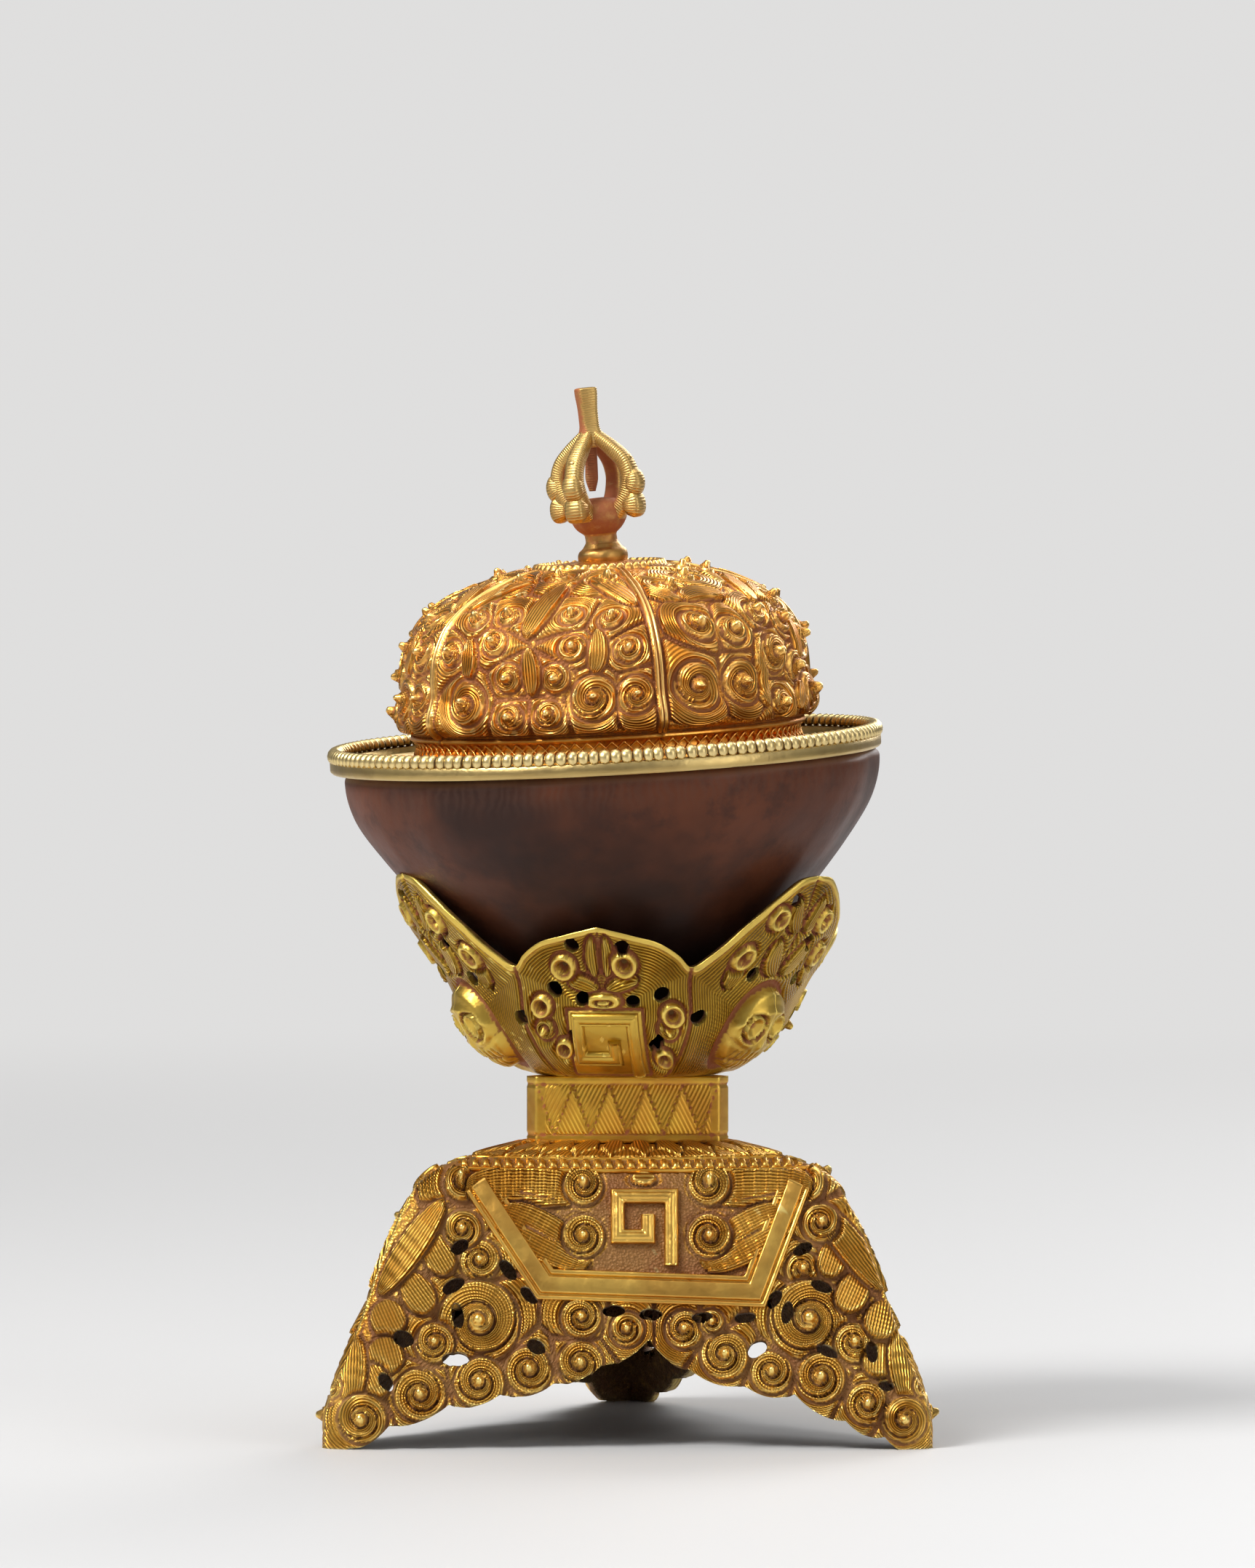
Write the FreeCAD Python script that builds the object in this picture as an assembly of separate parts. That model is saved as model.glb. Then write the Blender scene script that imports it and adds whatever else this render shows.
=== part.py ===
import FreeCAD, Part
import math
import os

# Millimetres, +Z up. The three feet stand on z = 0 and the front face of the stand looks to -Y.
# The origin is on the ground under the middle of the whole chalice. Every piece is drawn about the
# axis of the stand, which lies a little in front of that, and is moved there at the end.
STAND_FORWARD = 4.2

# Stand: pierced three-sided shell on three feet
STAND_HEIGHT = 41.2
STAND_REACH = 49.0
STAND_WALL = 1.3
STAND_CORNER_POWER = 8.0
STAND_CORNERS = (-150.0, -30.0, 90.0)
STAND_FACES = (-90.0, 30.0, 150.0)
CORNER_ANGLES = (-9.0, 0.0, 9.0)
# Share of the height, share of the reach of the corners
STAND_PROFILE = (
    (0.0, 1.0), (0.12, 0.990), (0.368, 0.889), (0.645, 0.792),
    (0.80, 0.725), (0.88, 0.675), (0.935, 0.590), (0.975, 0.460), (1.0, 0.350),
)
# Above this share of the height a layer laid on the outside is moved up as well as out
STAND_DOMED_ABOVE = 0.92
# Lower edge of one face from the left foot over the arch to the right, in hundredths of reach and height
ARCH_EDGE = (
    (-78.0, 0.0), (-72.0, 1.6), (-66.0, 7.0), (-58.0, 8.0), (-50.0, 14.6), (-43.0, 14.0),
    (-36.0, 17.8), (-28.0, 19.4), (-20.0, 23.2), (-13.0, 21.8), (-6.4, 29.0), (2.0, 34.6),
    (6.2, 36.4), (15.6, 31.0), (18.0, 24.6), (24.0, 21.8), (30.0, 22.6), (36.0, 18.6),
    (48.0, 18.8), (57.0, 14.6), (60.6, 7.4), (68.0, 4.6), (74.0, 2.0), (80.0, 0.0),
)
# Scroll bosses of one face: sideways and height in hundredths of reach and height, radius in millimetres
STAND_BOSSES = (
    (-47.0, 88.6, 2.5), (-47.4, 72.6, 2.4), (-42.4, 62.2, 2.5), (-42.2, 42.2, 4.4), (-54.5, 36.0, 2.5),
    (-60.5, 18.4, 3.2), (-42.2, 23.4, 3.2), (-28.0, 26.4, 2.8), (-13.8, 28.6, 2.8), (-13.2, 43.0, 2.4),
    (-75.6, 10.0, 2.8), (51.0, 88.2, 2.5), (54.4, 74.4, 2.4), (49.8, 59.4, 2.3), (51.4, 43.0, 4.4),
    (63.8, 36.0, 2.5), (55.0, 25.0, 3.2), (40.8, 25.0, 2.8), (27.8, 31.4, 2.8), (70.6, 13.6, 2.8),
    (-12.6, 87.0, 2.7), (-12.6, 70.0, 2.7), (23.0, 87.0, 2.7), (23.4, 70.0, 2.7),
)
BOSS_RISE = 0.85
BOSS_TIP = 0.42
BOSS_SINK = 0.5
BOSS_SHOULDER = 0.48
RING_SHOULDER = 0.72
DOMED_FROM = 4.0
# Drilled holes of one face: sideways, height, half width, half height, turn in degrees
STAND_HOLES = (
    (-34.2, 59.4, 1.6, 1.0, -50.0), (-49.4, 54.2, 1.5, 1.0, 30.0),
    (-48.6, 30.6, 1.8, 1.0, 0.0), (-26.2, 33.4, 1.5, 1.0, -35.0), (0.0, 45.8, 1.6, 0.9, 0.0),
    (21.6, 43.6, 1.6, 0.9, 0.0), (55.2, 53.4, 1.5, 1.0, -30.0), (36.0, 32.4, 1.5, 1.0, 30.0),
)
# Raised frame and squared fret of one face
FRAME_RISE = 0.7
FRAME_EDGE = (
    (-45.4, 84.0), (-25.8, 49.6), (39.6, 47.2), (51.6, 85.4),
    (47.0, 87.6), (36.2, 53.6), (-22.8, 56.0), (-40.4, 86.2),
)
FRET_EDGE = (
    (14.4, 60.6), (14.4, 86.0), (-4.8, 86.0), (-4.8, 68.0), (7.8, 68.0), (7.8, 77.4),
    (3.8, 77.4), (3.8, 72.8), (-0.6, 72.8), (-0.6, 81.2), (10.2, 81.2), (10.2, 60.6),
)
# Chased leaves down the corner ridges: start and end, half width, in hundredths of reach and height
RIDGE_LEAVES = (
    ((-55.2, 82.6), (-68.2, 51.4), 3.4), ((-67.0, 47.6), (-74.6, 26.6), 3.6),
    ((55.2, 82.6), (68.2, 51.4), 3.4), ((67.0, 47.6), (74.6, 26.6), 3.6),
)
LEAF_RISE = 0.6
LEAF_SHOULDER = 0.6
# Feathers beside the fret: sideways and height in hundredths, length and width in millimetres, turn
STAND_FEATHERS = (
    (-30.4, 87.0, 9.4, 4.6, 2.0), (-25.6, 71.6, 8.4, 4.4, -40.0),
    (37.0, 87.0, 9.2, 4.6, -2.0), (34.0, 71.6, 8.8, 4.4, 40.0),
)
FEATHER_RISE = 0.8

# Neck: three-sided collar with cut corners
NECK_HEIGHT = 9.2
NECK_FACE = 8.86
NECK_CORNER = 15.5

# Crown: petalled holder on the neck, its tips a little inside the lip of the cup that it holds
CUP_RADIUS = 37.6
CROWN_INSIDE_LIP = 3.4
CROWN_REACH = CUP_RADIUS - CROWN_INSIDE_LIP
CROWN_HEIGHT = 29.4
CROWN_WALL = 1.0
CROWN_FLOOR = 2.6
CROWN_TURN = -8.0
CROWN_SIDES = 18
# Share of the height, share of the reach
CROWN_PROFILE = (
    (0.0, 0.395), (0.026, 0.445), (0.085, 0.525), (0.195, 0.620),
    (0.46, 0.748), (0.745, 0.908), (1.0, 1.0),
)
LOW_PETAL_HEIGHT = 21.6
PETAL_VALLEY = 16.0
LOW_PETAL_HALF = 27.0
TALL_PETAL_TURN = 60.0
TALL_PETAL_TIP = 28.6
# Edges from the valley up to each tip, as shares of the way across and of the way up
LOW_PETAL_EDGE = ((0.16, 0.30), (0.38, 0.62), (0.66, 0.84), (1.0, 1.0))
LOW_PETAL_TIP_CLEAR = (1.15, 1.1)
TALL_PETAL_EDGE = ((0.18, 0.14), (0.40, 0.44), (0.62, 0.72), (0.84, 0.96), (1.0, 1.0))
# Ring bosses of a low and of a tall petal: degrees off the petal's middle, height above the neck, radius
LOW_PETAL_BOSSES = (
    (-11.0, 16.0, 1.9), (7.0, 16.4, 1.9), (-21.0, 10.4, 1.7), (23.0, 9.2, 1.8),
)
TALL_PETAL_BOSSES = (
    (-10.0, 22.6, 1.8), (9.0, 22.0, 1.8), (-17.0, 17.2, 1.8), (17.0, 17.2, 1.8),
)
# Holes of a low petal and of a tall petal: degrees off the middle, height above the neck, radius
LOW_PETAL_HOLES = (
    (-7.1, 19.2, 0.8), (6.5, 19.2, 0.8), (-15.6, 13.0, 0.9),
    (19.0, 12.6, 0.9), (-30.9, 8.7, 0.9), (33.0, 8.9, 0.9),
)
TALL_PETAL_HOLES = (
    (-6.0, 25.4, 0.8), (7.0, 19.0, 0.8),
)
MASK_ACROSS = 5.6
MASK_TALL = 6.2
MASK_DEEP = 3.0
MASK_MIDDLE = 7.2
MASK_SIDES = 8
# Share of the width and height, share of the depth
MASK_RINGS = ((1.0, -0.85), (0.9, 0.25), (0.5, 0.67), (0.0, 0.75))
MASK_EYE = 1.5
MASK_EYE_PLACE = (0.42, 0.16, 0.42)
CROWN_FRET_RISE = 0.6
CROWN_FRET_EDGE = (
    (4.8, 0.8), (4.8, 9.6), (-4.8, 9.6), (-4.8, 2.2), (2.0, 2.2), (2.0, 6.4),
    (0.2, 6.4), (0.2, 4.0), (-2.8, 4.0), (-2.8, 7.6), (2.9, 7.6), (2.9, 0.8),
)

# Cup, leaning in the crown as it is found
LEAN = 3.0
NOD = 2.1
PIVOT_X = -0.8
PIVOT_HEIGHT = 1.6
CUP_DEPTH = 42.1
CUP_WALL = 1.8
CUP_WALL_SLOPE = 0.8
CUP_OFF_CENTRE = 0.7
CUP_FOOT_GAP = 0.5
CUP_SIDES = 32
# Share of the depth below the lip, share of the radius
CUP_PROFILE = (
    (0.0, 0.985), (0.03, 1.0), (0.148, 0.972), (0.309, 0.858),
    (0.475, 0.708), (0.75, 0.455), (0.94, 0.22), (1.0, 0.0),
)

# Rim: band with an inward ledge for the lid, under a ring of beads
RIM_OVERHANG = 1.0
RIM_RADIUS = CUP_RADIUS + RIM_OVERHANG
RIM_BAND_WALL = 1.5
RIM_BAND_HEIGHT = 1.8
LEDGE_THICK = 1.0
LEDGE_LAP = 2.8
RIM_SIDES = 32
BEAD_COUNT = 160
BEAD_RISE = 1.6
BEAD_LAP = 0.3
BEAD_GROOVE = 0.3
BEAD_CROWN = 0.15

# Lid: hollow dome with five ribbed panels
LID_HEIGHT = 26.9
LID_RADIUS = 28.6
LID_WALL = 1.1
LID_OFF_CENTRE = 0.5
LID_HOLLOW_SIDES = 15
FIRST_RIB = -74.5
RIB_RISE = 1.014
# Share of a panel's width, and whether the point lies on the rib
LID_RIB = ((-0.02, 0), (0.0, 1), (0.02, 0), (0.25, 0), (0.5, 0), (0.75, 0))
LID_RIB_FOOT = 0.13
LID_RIB_TOP = 0.94
# Share of the height, share of the radius
LID_PROFILE = (
    (0.0, 0.955), (0.126, 0.962), (0.137, 0.979), (0.38, 1.0), (0.62, 0.956),
    (0.75, 0.868), (0.85, 0.725), (0.92, 0.555), (0.97, 0.365), (1.0, 0.125),
)
# Bosses of the two kinds of panel: degrees from the left rib, height above the ledge, radius
CLOSE_BOSSES = (
    (14.7, 8.9, 2.9), (29.6, 6.6, 1.8), (40.6, 7.0, 1.8), (53.3, 9.1, 2.9),
    (65.2, 9.3, 2.6), (28.6, 12.3, 1.9), (42.5, 12.1, 1.9), (7.2, 15.9, 1.8),
    (22.7, 17.2, 1.8), (47.2, 16.0, 1.8), (63.3, 15.7, 1.8), (24.6, 20.6, 1.7),
    (47.6, 20.2, 1.6), (59.4, 19.4, 1.7),
)
WIDE_BOSSES = (
    (10.8, 10.2, 3.0), (25.6, 10.2, 2.8), (41.4, 13.5, 2.4), (40.0, 6.2, 1.9),
    (53.0, 11.3, 2.0), (14.9, 18.6, 2.2), (26.4, 17.6, 2.0), (41.2, 19.4, 1.7),
    (62.0, 7.6, 2.6), (64.0, 15.6, 2.0), (54.0, 17.6, 1.8), (63.0, 20.8, 1.6),
    (14.5, 24.2, 1.4), (30.0, 24.6, 1.4),
)
# Feathers of either kind: degrees from the left rib, height, length, width, turn
CLOSE_FEATHERS = ((36.0, 22.0, 5.6, 3.4, 60.0), (35.4, 16.0, 4.6, 2.6, 90.0))
WIDE_FEATHERS = ((23.0, 22.2, 6.0, 3.4, -10.0), (52.0, 22.6, 5.0, 2.8, 40.0))
# Kinds of the five panels, from the first rib round
LID_KINDS = (
    (WIDE_BOSSES, WIDE_FEATHERS), (CLOSE_BOSSES, CLOSE_FEATHERS), (WIDE_BOSSES, WIDE_FEATHERS),
    (CLOSE_BOSSES, CLOSE_FEATHERS), (CLOSE_BOSSES, CLOSE_FEATHERS),
)
TOP_RING_RADIUS = 8.6
TOP_RING_RISE = 0.7
TOP_RING_SINK = 0.35
TOP_RING_SIDES = 12

# Finial: half thunderbolt with four prongs
FINIAL_HEIGHT = 24.0
FINIAL_OFF_CENTRE = 1.1
FINIAL_LEAN = 3.0
FINIAL_TURN = -30.0
FINIAL_SIDES = 6
TENON_RADIUS = 1.5
TENON_LENGTH = 3.0
TENON_HEAD = 0.5
TENON_CLEARANCE = 0.1
TIP_WIDTH = 2.5
# Share of the height, share of the tip's width
TIP_BAR = ((0.66, 1.0), (0.75, 0.85), (0.97, 0.95), (1.0, 0.8))
PRONG_COUNT = 4
PRONG_WIDTH = 1.9
# Corners of a prong's section in half widths: outwards, sideways
PRONG_SECTION = ((-1.0, -1.0), (-1.0, 1.0), (1.2, 0.0))
# Share of the height, radius in millimetres, from the foot up to the rim of the bowl
FINIAL_PROFILE = (
    (0.0, 3.5), (0.06, 3.2), (0.11, 2.3), (0.14, 2.3), (0.27, 3.9), (0.33, 3.1),
)
# Path of a prong: radius in millimetres, share of the height
PRONG_PATH = ((2.6, 0.30), (5.4, 0.37), (6.3, 0.48), (4.6, 0.60), (0.9, 0.72))
KNOB_OUT = 6.6
KNOB_UP = 0.385
KNOB_RADIUS = 1.25
# Share of the radius, height in radii
KNOB_RINGS = ((1.0, -1.0), (1.0, 0.5), (0.6, 1.0))

BOSS_SIDES = 5
SMALL_BOSS_SIDES = 4
SMALL_BOSS = 3.0
HOLE_SIDES = 4
# Cutters: outer and inner end as shares of the piece's reach, and overrun past a face
CUT_OUTER = 1.25
CUT_INNER = 0.25
CUT_OVERRUN = 0.02


def facet(points):
    return Part.Face(Part.makePolygon(list(points) + [points[0]]))


def skin(rings, flat=False):
    """Closed solid through rings of points; a ring of one point is a tip."""
    faces = []
    for low, high in zip(rings, rings[1:]):
        count = max(len(low), len(high))
        for i in range(count):
            j = (i + 1) % count
            if len(high) == 1:
                faces.append(facet([low[i], low[j], high[0]]))
            elif len(low) == 1:
                faces.append(facet([low[0], high[j], high[i]]))
            elif flat:
                faces.append(facet([low[i], low[j], high[j], high[i]]))
            else:
                faces.append(facet([low[i], low[j], high[j]]))
                faces.append(facet([low[i], high[j], high[i]]))
    for end in (rings[0], rings[-1]):
        if len(end) > 2:
            faces.append(facet(end))
    solid = Part.Solid(Part.makeShell(faces))
    if solid.Volume < 0:
        solid.reverse()
    return solid


def hoop(sections, flat=False):
    """Closed solid ring through cross-sections of like count."""
    faces = []
    for k, one in enumerate(sections):
        two = sections[(k + 1) % len(sections)]
        for i in range(len(one)):
            j = (i + 1) % len(one)
            if flat:
                faces.append(facet([one[i], one[j], two[j], two[i]]))
            else:
                faces.append(facet([one[i], one[j], two[j]]))
                faces.append(facet([one[i], two[j], two[i]]))
    solid = Part.Solid(Part.makeShell(faces))
    if solid.Volume < 0:
        solid.reverse()
    return solid


def value_at(profile, share):
    """Straight-line reading of a profile given as pairs."""
    for (a, va), (b, vb) in zip(profile, profile[1:]):
        if share <= b:
            return va + (vb - va) * (share - a) / (b - a)
    return profile[-1][1]


def polar(radius, degrees, z):
    turn = math.radians(degrees)
    return FreeCAD.Vector(radius * math.cos(turn), radius * math.sin(turn), z)


def turned(shape, degrees):
    copy = shape.copy()
    copy.rotate(FreeCAD.Vector(0, 0, 0), FreeCAD.Vector(0, 0, 1), degrees)
    return copy


def three_sides(shapes):
    return [turned(shape, face - STAND_FACES[0]) for face in STAND_FACES for shape in shapes]


def prism(points, near, far):
    """Outline in X and Z, drawn through from y = near to y = far."""
    face = facet([FreeCAD.Vector(x, near, z) for x, z in points])
    return face.extrude(FreeCAD.Vector(0, far - near, 0))


def oval(x, z, half_width, half_height, turn):
    c = math.cos(math.radians(turn))
    s = math.sin(math.radians(turn))
    points = []
    for k in range(HOLE_SIDES):
        a = 2 * math.pi * k / HOLE_SIDES
        p = half_width * math.cos(a)
        q = half_height * math.sin(a)
        points.append((x + p * c - q * s, z + p * s + q * c))
    return points


def level_and_up(outward):
    """Level direction and upward direction in the plane that faces outward."""
    side = outward.cross(FreeCAD.Vector(0, 0, 1))
    side.normalize()
    return side, side.cross(outward)


def boss(foot, outward, radius, levels, tip=None, sides=BOSS_SIDES):
    """Faceted boss: rings given by share of the radius and height, closed by a tip or left flat."""
    side, up = level_and_up(outward)
    rings = []
    for share, height in levels:
        ring = []
        for k in range(sides):
            a = 2 * math.pi * k / sides
            around = side * math.cos(a) + up * math.sin(a)
            ring.append(foot + around * (radius * share) + outward * height)
        rings.append(ring)
    if tip:
        rings.append([foot + outward * tip])
    return skin(rings, True)


def scroll_boss(foot, outward, radius):
    """Curl of a scroll: a pointed cone, on a low dome where it is large."""
    levels = [(1.0, -BOSS_SINK)]
    if radius >= DOMED_FROM:
        levels.append((BOSS_SHOULDER, BOSS_RISE))
    sides = SMALL_BOSS_SIDES if radius < SMALL_BOSS else BOSS_SIDES
    return boss(foot, outward, radius, levels, BOSS_RISE + BOSS_TIP * radius, sides)


def feather(foot, outward, length, width, turn):
    """Raised feather: a low peak on a long lozenge, turned from the level direction."""
    side, up = level_and_up(outward)
    c = math.cos(math.radians(turn))
    s = math.sin(math.radians(turn))
    along = (side * c + up * s) * (length / 2)
    across = (up * c - side * s) * (width / 2)
    base = foot - outward * BOSS_SINK
    ring = [base + along, base + across, base - along, base - across]
    return skin([ring, [foot + outward * FEATHER_RISE]], True)


def ring_boss(foot, outward, radius):
    levels = [(1.0, -BOSS_SINK), (RING_SHOULDER, BOSS_RISE)]
    return boss(foot, outward, radius, levels, sides=SMALL_BOSS_SIDES)


# Stand

def corner_share(degrees):
    """Distance of the outline from the axis at an angle, as a share of that of its corners."""
    total = 0.0
    for face in STAND_FACES:
        total += max(0.0, math.cos(math.radians(degrees - face))) ** STAND_CORNER_POWER
    corner = 2 ** (1 / STAND_CORNER_POWER) * 0.5
    return corner / total ** (1 / STAND_CORNER_POWER)


def stand_reach(z):
    return STAND_REACH * value_at(STAND_PROFILE, z / STAND_HEIGHT)


def stand_body(grow):
    """Solid of the stand with its surface moved outwards by grow."""
    angles = [corner + step for corner in STAND_CORNERS for step in CORNER_ANGLES]
    rings = []
    for height, reach in STAND_PROFILE:
        size = STAND_REACH * reach + grow / corner_share(STAND_FACES[0])
        z = height * STAND_HEIGHT
        if height > STAND_DOMED_ABOVE:
            z += grow
        elif height == 0.0:
            z = min(grow, 0.0)
        rings.append([polar(size * corner_share(angle), angle, z) for angle in angles])
    return skin(rings, True)


def stand_point(across, height):
    """Point and outward direction on the front face, given in hundredths of reach and height."""
    x = across * STAND_REACH / 100
    z = height * STAND_HEIGHT / 100
    low, high = -160.0, -20.0
    for step in range(40):
        middle = (low + high) / 2
        if stand_reach(z) * corner_share(middle) * math.cos(math.radians(middle)) < x:
            low = middle
        else:
            high = middle
    place = polar(stand_reach(z) * corner_share(low), low, z)
    before = polar(stand_reach(z) * corner_share(low - 1), low - 1, z)
    after = polar(stand_reach(z) * corner_share(low + 1), low + 1, z)
    above = polar(stand_reach(z + 1) * corner_share(low), low, z + 1)
    outward = (after - before).cross(above - place)
    outward.normalize()
    return place, outward


def face_points(points):
    return [(a * STAND_REACH / 100, h * STAND_HEIGHT / 100) for a, h in points]


def leaf_outline(start, end, half):
    """Long pointed leaf between two places, in hundredths."""
    dx = end[0] - start[0]
    dz = end[1] - start[1]
    length = math.hypot(dx, dz)
    nx = -dz / length * half
    nz = dx / length * half
    return [
        start,
        (start[0] + dx * LEAF_SHOULDER + nx, start[1] + dz * LEAF_SHOULDER + nz),
        end,
        (start[0] + dx * LEAF_SHOULDER - nx, start[1] + dz * LEAF_SHOULDER - nz),
    ]


def make_stand():
    outer = stand_body(0.0)
    raised = stand_body(FRAME_RISE)
    leafy = stand_body(LEAF_RISE)
    hollow = stand_body(-STAND_WALL)
    near = -CUT_OUTER * STAND_REACH
    middle = -CUT_INNER * STAND_REACH
    outlines = [prism(face_points(edge), near, middle) for edge in (FRAME_EDGE, FRET_EDGE)]
    leaves = [prism(face_points(leaf_outline(*leaf)), near, middle) for leaf in RIDGE_LEAVES]
    reliefs = three_sides([raised.common(outline) for outline in outlines])
    reliefs += three_sides([leafy.common(leaf) for leaf in leaves])
    for across, height, radius in STAND_BOSSES:
        reliefs += three_sides([scroll_boss(*stand_point(across, height), radius)])
    for across, height, length, width, turn in STAND_FEATHERS:
        reliefs += three_sides([feather(*stand_point(across, height), length, width, turn)])
    body = outer.fuse(reliefs)
    edge = face_points(ARCH_EDGE)
    arch = prism(edge + [(edge[-1][0], -STAND_WALL), (edge[0][0], -STAND_WALL)], near, 0.0)
    cuts = [hollow] + three_sides([arch])
    for across, height, half_width, half_height, turn in STAND_HOLES:
        x = across * STAND_REACH / 100
        z = height * STAND_HEIGHT / 100
        cuts += three_sides([prism(oval(x, z, half_width, half_height, turn), near, middle)])
    cuts.append(Part.makeBox(-2 * near, -2 * near, -near, FreeCAD.Vector(near, near, near)))
    return body.cut(cuts).removeSplitter()


# Neck

def make_neck():
    """Three-sided collar; each corner is cut square to its own direction."""
    half = (NECK_CORNER - NECK_FACE / 2) / math.cos(math.radians(30))
    points = []
    for face in STAND_FACES:
        out = polar(NECK_FACE, face, STAND_HEIGHT)
        along = polar(half, face + 90, 0)
        points += [out - along, out + along]
    return facet(points).extrude(FreeCAD.Vector(0, 0, NECK_HEIGHT))


# Crown

def crown_base():
    return STAND_HEIGHT + NECK_HEIGHT


def crown_radius(height):
    return CROWN_REACH * value_at(CROWN_PROFILE, height / CROWN_HEIGHT)


def crown_body(grow, floor=0.0, above=0.0):
    """Solid of the crown from a floor up, drawn on above its top, its surface moved outwards by grow."""
    heights = [share * CROWN_HEIGHT for share, reach in CROWN_PROFILE]
    levels = [floor] + [height for height in heights if height > floor]
    rings = [circle_points(crown_radius(z) + grow, crown_base() + z, CROWN_SIDES) for z in levels]
    if above:
        top = crown_base() + CROWN_HEIGHT + above
        rings.append(circle_points(CROWN_REACH + grow, top, CROWN_SIDES))
    return skin(rings, True)


def petal_notch(side):
    """Cutter between the tips of a low and a tall petal, drawn for a valley that faces the front."""
    low = crown_radius(LOW_PETAL_HEIGHT) * math.sin(math.radians(LOW_PETAL_HALF))
    tall = crown_radius(TALL_PETAL_TIP) * math.sin(math.radians(TALL_PETAL_TURN - LOW_PETAL_HALF))
    rise = LOW_PETAL_HEIGHT - PETAL_VALLEY
    climb = TALL_PETAL_TIP - PETAL_VALLEY
    top = CROWN_HEIGHT - PETAL_VALLEY + CROWN_WALL
    outline = [(0.0, 0.0)]
    outline += [(across * low, up * rise) for across, up in LOW_PETAL_EDGE]
    outline.append((LOW_PETAL_TIP_CLEAR[0] * low, LOW_PETAL_TIP_CLEAR[1] * rise))
    outline += [(LOW_PETAL_TIP_CLEAR[0] * low, top), (-tall, top)]
    outline += [(-across * tall, up * climb) for across, up in reversed(TALL_PETAL_EDGE)]
    points = [(side * x, crown_base() + PETAL_VALLEY + z) for x, z in outline]
    return prism(points, -CUT_OUTER * CROWN_REACH, -CUT_INNER * CROWN_REACH)


def on_crown(degrees, height):
    z = crown_base() + height
    place = polar(crown_radius(height), degrees, z)
    above = polar(crown_radius(height + 1), degrees, z + 1)
    along = polar(1.0, degrees + 90, 0)
    outward = along.cross(above - place)
    outward.normalize()
    return place, outward


def make_mask(degrees):
    """Domed stylised skull with two ringed eyes under a tall petal."""
    place, outward = on_crown(degrees, MASK_MIDDLE)
    side, up = level_and_up(outward)
    rings = []
    for share, lift in MASK_RINGS:
        centre = place + outward * (MASK_DEEP * lift)
        ring = []
        for k in range(MASK_SIDES if share else 1):
            a = 2 * math.pi * (k + 0.5) / MASK_SIDES
            across = side * (MASK_ACROSS * share * math.cos(a))
            high = up * (MASK_TALL * share * math.sin(a))
            ring.append(centre + across + high)
        rings.append(ring)
    solids = [skin(rings)]
    apart, above, out = MASK_EYE_PLACE
    for hand in (-1, 1):
        eye = place + side * (hand * MASK_ACROSS * apart) + up * (MASK_TALL * above)
        solids.append(ring_boss(eye + outward * (MASK_DEEP * out), outward, MASK_EYE))
    return solids


def make_crown(cup):
    outer = crown_body(0.0)
    raised = crown_body(CROWN_FRET_RISE)
    edge = [(x, crown_base() + z) for x, z in CROWN_FRET_EDGE]
    fret = prism(edge, -CUT_OUTER * CROWN_REACH, -CUT_INNER * CROWN_REACH)
    reliefs = three_sides([raised.common(fret)])
    for middle in STAND_FACES:
        tall = middle + TALL_PETAL_TURN
        for degrees, height, radius in LOW_PETAL_BOSSES:
            reliefs.append(ring_boss(*on_crown(middle + degrees, height), radius))
        for degrees, height, radius in TALL_PETAL_BOSSES:
            reliefs.append(ring_boss(*on_crown(tall + degrees, height), radius))
        reliefs += make_mask(tall)
    body = outer.fuse(reliefs)
    cuts = [crown_body(-CROWN_WALL, CROWN_FLOOR, CUT_OVERRUN)]
    for side in (-1, 1):
        valley = petal_notch(side)
        cuts += [turned(piece, side * -LOW_PETAL_HALF) for piece in three_sides([valley])]
    for middle in STAND_FACES:
        for degrees, height, radius in LOW_PETAL_HOLES:
            cuts.append(drill(middle + degrees, height, radius))
        for degrees, height, radius in TALL_PETAL_HOLES:
            cuts.append(drill(middle + TALL_PETAL_TURN + degrees, height, radius))
    return turned(body.cut(cuts), CROWN_TURN).cut(cup).removeSplitter()


def drill(degrees, height, radius):
    edge = oval(0.0, crown_base() + height, radius, radius, 0.0)
    cutter = prism(edge, -CUT_OUTER * CROWN_REACH, -CUT_INNER * CROWN_REACH)
    return turned(cutter, degrees - STAND_FACES[0])


# Leaning upper part: cup, rim, lid and finial share one leaning axis

def leaning(shape, off_centre=0.0):
    copy = shape.copy()
    foot = FreeCAD.Vector(PIVOT_X, 0, crown_base() + PIVOT_HEIGHT)
    copy.translate(FreeCAD.Vector(PIVOT_X + off_centre, 0, foot.z))
    copy.rotate(foot, FreeCAD.Vector(1, 0, 0), NOD)
    copy.rotate(foot, FreeCAD.Vector(0, 1, 0), -LEAN)
    return copy


def lip_height():
    return CUP_DEPTH + CUP_FOOT_GAP


def circle_points(radius, z, sides):
    return [polar(radius, 360.0 * k / sides, z) for k in range(sides)]


def cup_body(wall, above, step=1):
    """Solid of the cup with its surface moved inwards by wall, drawn on above its lip."""
    rings = []
    for depth, radius in reversed(CUP_PROFILE[:-1:step] + CUP_PROFILE[-1:]):
        z = lip_height() - depth * (CUP_DEPTH - wall)
        size = CUP_RADIUS * radius - wall * (1.0 - CUP_WALL_SLOPE * depth)
        rings.append(circle_points(size, z, CUP_SIDES) if radius else [FreeCAD.Vector(0, 0, z)])
    if above:
        rings.append(circle_points(CUP_RADIUS * CUP_PROFILE[0][1] - wall, lip_height() + above, CUP_SIDES))
    return skin(rings, True)


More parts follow.
